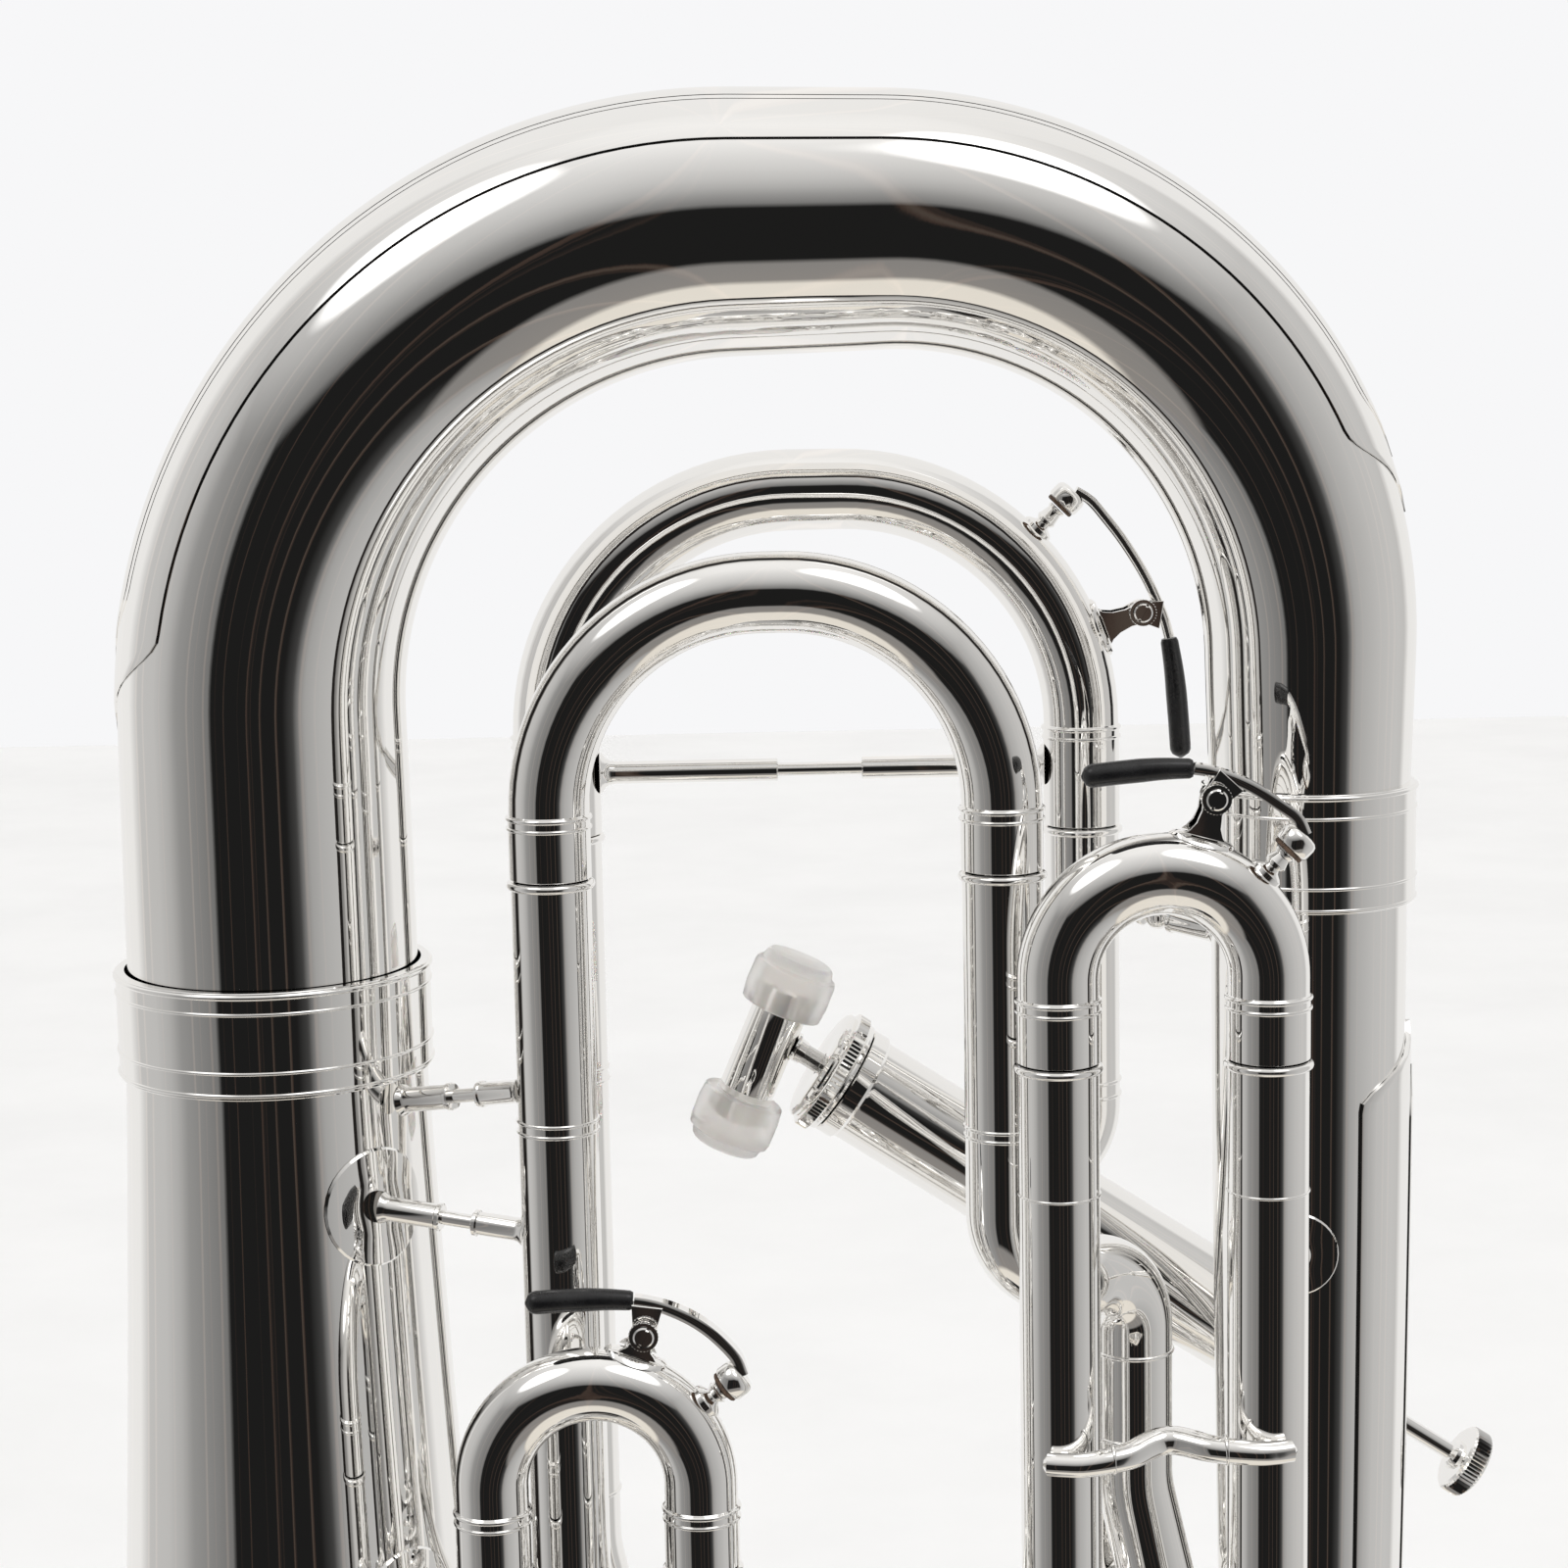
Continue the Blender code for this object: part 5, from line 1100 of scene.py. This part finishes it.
def make_world():
    """A white tent round the instrument, open towards a dark room behind the camera."""
    world = bpy.data.worlds.new("white tent")
    bpy.context.scene.world = world
    world.use_nodes = True
    nodes, links = world.node_tree.nodes, world.node_tree.links
    nodes.clear()
    place = nodes.new("ShaderNodeTexCoord")
    split = nodes.new("ShaderNodeSeparateXYZ")
    links.new(place.outputs["Generated"], split.inputs[0])
    x, y, z = split.outputs
    bearing = maths(nodes, links, "ARCTAN2", x, maths(nodes, links, "MULTIPLY", y, -1.0))
    across = maths(nodes, links, "MULTIPLY_ADD", bearing, 1 / math.tau, 0.5)
    height = maths(nodes, links, "ARCSINE", z)
    upward = maths(nodes, links, "MULTIPLY_ADD", height, 1 / math.pi, 0.5)

    around = [(-180, 0.86), (-122, 0.84), (-108, 0.54), (-88, 0.52), (-74, 0.43), (-64, 0.29),
              (-42, 0.21), (-35, 0.18), (-33, 0.012), (0, 0.010), (24, 0.012), (32, 0.05),
              (38, 0.26), (42, 0.36), (52, 0.43), (73, 0.51), (101, 0.56), (114, 0.54), (124, 0.84),
              (180, 0.86)]
    sides = ramp_node(nodes, [((a + 180) / 360, v) for a, v in around])
    links.new(across, sides.inputs["Fac"])
    rise = [(-90, (0.80, 0.755, 0.68)), (-55, (0.78, 0.735, 0.66)), (-51, (0.26, 0.245, 0.23)),
            (-36, (0.24, 0.23, 0.22)), (-32, 0.012), (13, 0.012), (17, 0.20), (24, 0.31), (31, 0.44),
            (39, 0.55), (48, 0.64), (60, 0.74), (75, 0.88), (90, 0.92)]
    levels = ramp_node(nodes, [((a + 90) / 180, v) for a, v in rise])
    links.new(upward, levels.inputs["Fac"])
    both = nodes.new("ShaderNodeMix")
    both.data_type = "RGBA"
    both.blend_type = "LIGHTEN"
    both.inputs["Factor"].default_value = 1.0
    links.new(sides.outputs["Color"], both.inputs[6])
    links.new(levels.outputs["Color"], both.inputs[7])

    total = both.outputs[2]
    for azimuth, elevation, size in ((-59, 52, 17), (45, 60, 18)):
        a, e = math.radians(azimuth), math.radians(elevation)
        way = (math.sin(a) * math.cos(e), -math.cos(a) * math.cos(e), math.sin(e))
        dot = nodes.new("ShaderNodeVectorMath")
        dot.operation = "DOT_PRODUCT"
        links.new(place.outputs["Generated"], dot.inputs[0])
        dot.inputs[1].default_value = way
        glow = nodes.new("ShaderNodeMapRange")
        glow.interpolation_type = "SMOOTHSTEP"
        glow.inputs["From Min"].default_value = math.cos(math.radians(size))
        glow.inputs["From Max"].default_value = math.cos(math.radians(size * 0.5))
        glow.inputs["To Max"].default_value = 1.5
        links.new(dot.outputs["Value"], glow.inputs["Value"])
        add = nodes.new("ShaderNodeMix")
        add.data_type = "RGBA"
        add.blend_type = "ADD"
        add.inputs["Factor"].default_value = 1.0
        links.new(total, add.inputs[6])
        links.new(glow.outputs["Result"], add.inputs[7])
        total = add.outputs[2]

    streak = nodes.new("ShaderNodeTexNoise")
    streak.noise_dimensions = "1D"
    streak.inputs["Scale"].default_value = 70.0
    streak.inputs["Detail"].default_value = 3.0
    links.new(across, streak.inputs["W"])
    lines = ramp_node(nodes, [(0.0, 0.0), (0.60, 0.0), (0.66, (0.035, 0.020, 0.014)),
                              (0.72, (0.06, 0.045, 0.035)), (1.0, (0.12, 0.10, 0.08))])
    links.new(streak.outputs["Fac"], lines.inputs["Fac"])
    add = nodes.new("ShaderNodeMix")
    add.data_type = "RGBA"
    add.blend_type = "ADD"
    add.inputs["Factor"].default_value = 1.0
    links.new(total, add.inputs[6])
    links.new(lines.outputs["Color"], add.inputs[7])

    room = nodes.new("ShaderNodeBackground")
    links.new(add.outputs[2], room.inputs["Color"])
    backdrop = nodes.new("ShaderNodeBackground")
    backdrop.inputs["Color"].default_value = (0.93, 0.93, 0.94, 1.0)
    path = nodes.new("ShaderNodeLightPath")
    mix = nodes.new("ShaderNodeMixShader")
    links.new(path.outputs["Is Camera Ray"], mix.inputs[0])
    links.new(room.outputs[0], mix.inputs[1])
    links.new(backdrop.outputs[0], mix.inputs[2])
    output = nodes.new("ShaderNodeOutputWorld")
    links.new(mix.outputs[0], output.inputs["Surface"])


def make_floor():
    """A wide, flat, pale floor under the instrument."""
    floor_finish = finish("pale_floor", (0.86, 0.86, 0.86), (0.90, 0.90, 0.90), 0.0, (0.7, 0.8),
                          (3.0, 5.0), [(60.0, 0.0001)])
    bm = bmesh.new()
    size, count = 6.0, 24
    rows = [[bm.verts.new((size * (2 * i / count - 1), size * (2 * j / count - 1), 0.0))
             for i in range(count + 1)] for j in range(count + 1)]
    for a, b in zip(rows, rows[1:]):
        for i in range(count):
            bm.faces.new((a[i], a[i + 1], b[i + 1], b[i]))
    mesh = bpy.data.meshes.new("floor")
    bm.to_mesh(mesh)
    bm.free()
    mesh.materials.append(floor_finish)
    floor = bpy.data.objects.new("floor", mesh)
    bpy.context.scene.collection.objects.link(floor)
    floor.visible_glossy = False


def make_lights():
    sun = bpy.data.lights.new("overhead_scrim", "SUN")
    sun.energy = 0.6
    sun.angle = math.radians(120.0)
    scrim = bpy.data.objects.new("overhead_scrim", sun)
    scrim.visible_glossy = False
    bpy.context.scene.collection.objects.link(scrim)
    for name, place, power, size in (("left_box", (-1.9, -1.2, 2.0), 5.0, 1.4),
                                     ("right_box", (2.0, -1.0, 2.2), 5.0, 1.4)):
        data = bpy.data.lights.new(name, "AREA")
        data.energy = power
        data.size = size
        light = bpy.data.objects.new(name, data)
        light.location = place
        aim = Vector((0.0, 0.0, 0.6)) - Vector(place)
        light.rotation_euler = aim.to_track_quat("-Z", "Y").to_euler()
        light.visible_glossy = False
        bpy.context.scene.collection.objects.link(light)


def make_camera():
    data = bpy.data.cameras.new("camera")
    data.sensor_width = 36.0
    data.lens = 74.6
    camera = bpy.data.objects.new("camera", data)
    turn = Matrix.Rotation(math.radians(81.4), 4, "X") @ Matrix.Rotation(-0.02, 4, "Z")
    camera.matrix_world = Matrix.Translation(at(140.76, -873.0, 926.8)) @ turn
    bpy.context.scene.collection.objects.link(camera)
    bpy.context.scene.camera = camera
    bpy.context.scene.view_settings.view_transform = "Standard"


def finish_cad_nodes():
    """The pieces inside the casings keep their CAD shape and get a real finish."""
    for number in (1, 2, 3, 4):
        for node, material in ((f"valve_piston_{number}", SATIN), (f"valve_spring_{number}", STEEL)):
            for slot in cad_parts[node].material_slots:
                slot.material = material


make_camera()
make_world()
make_floor()
make_lights()
make_bell()
make_ferrules()
make_bow()
make_branches()
make_slides()
make_second_slide()
make_leadpipe()
make_valves()
for water_key in KEYS.values():
    make_water_key(water_key)
make_lyre_holder()
finish_cad_nodes()
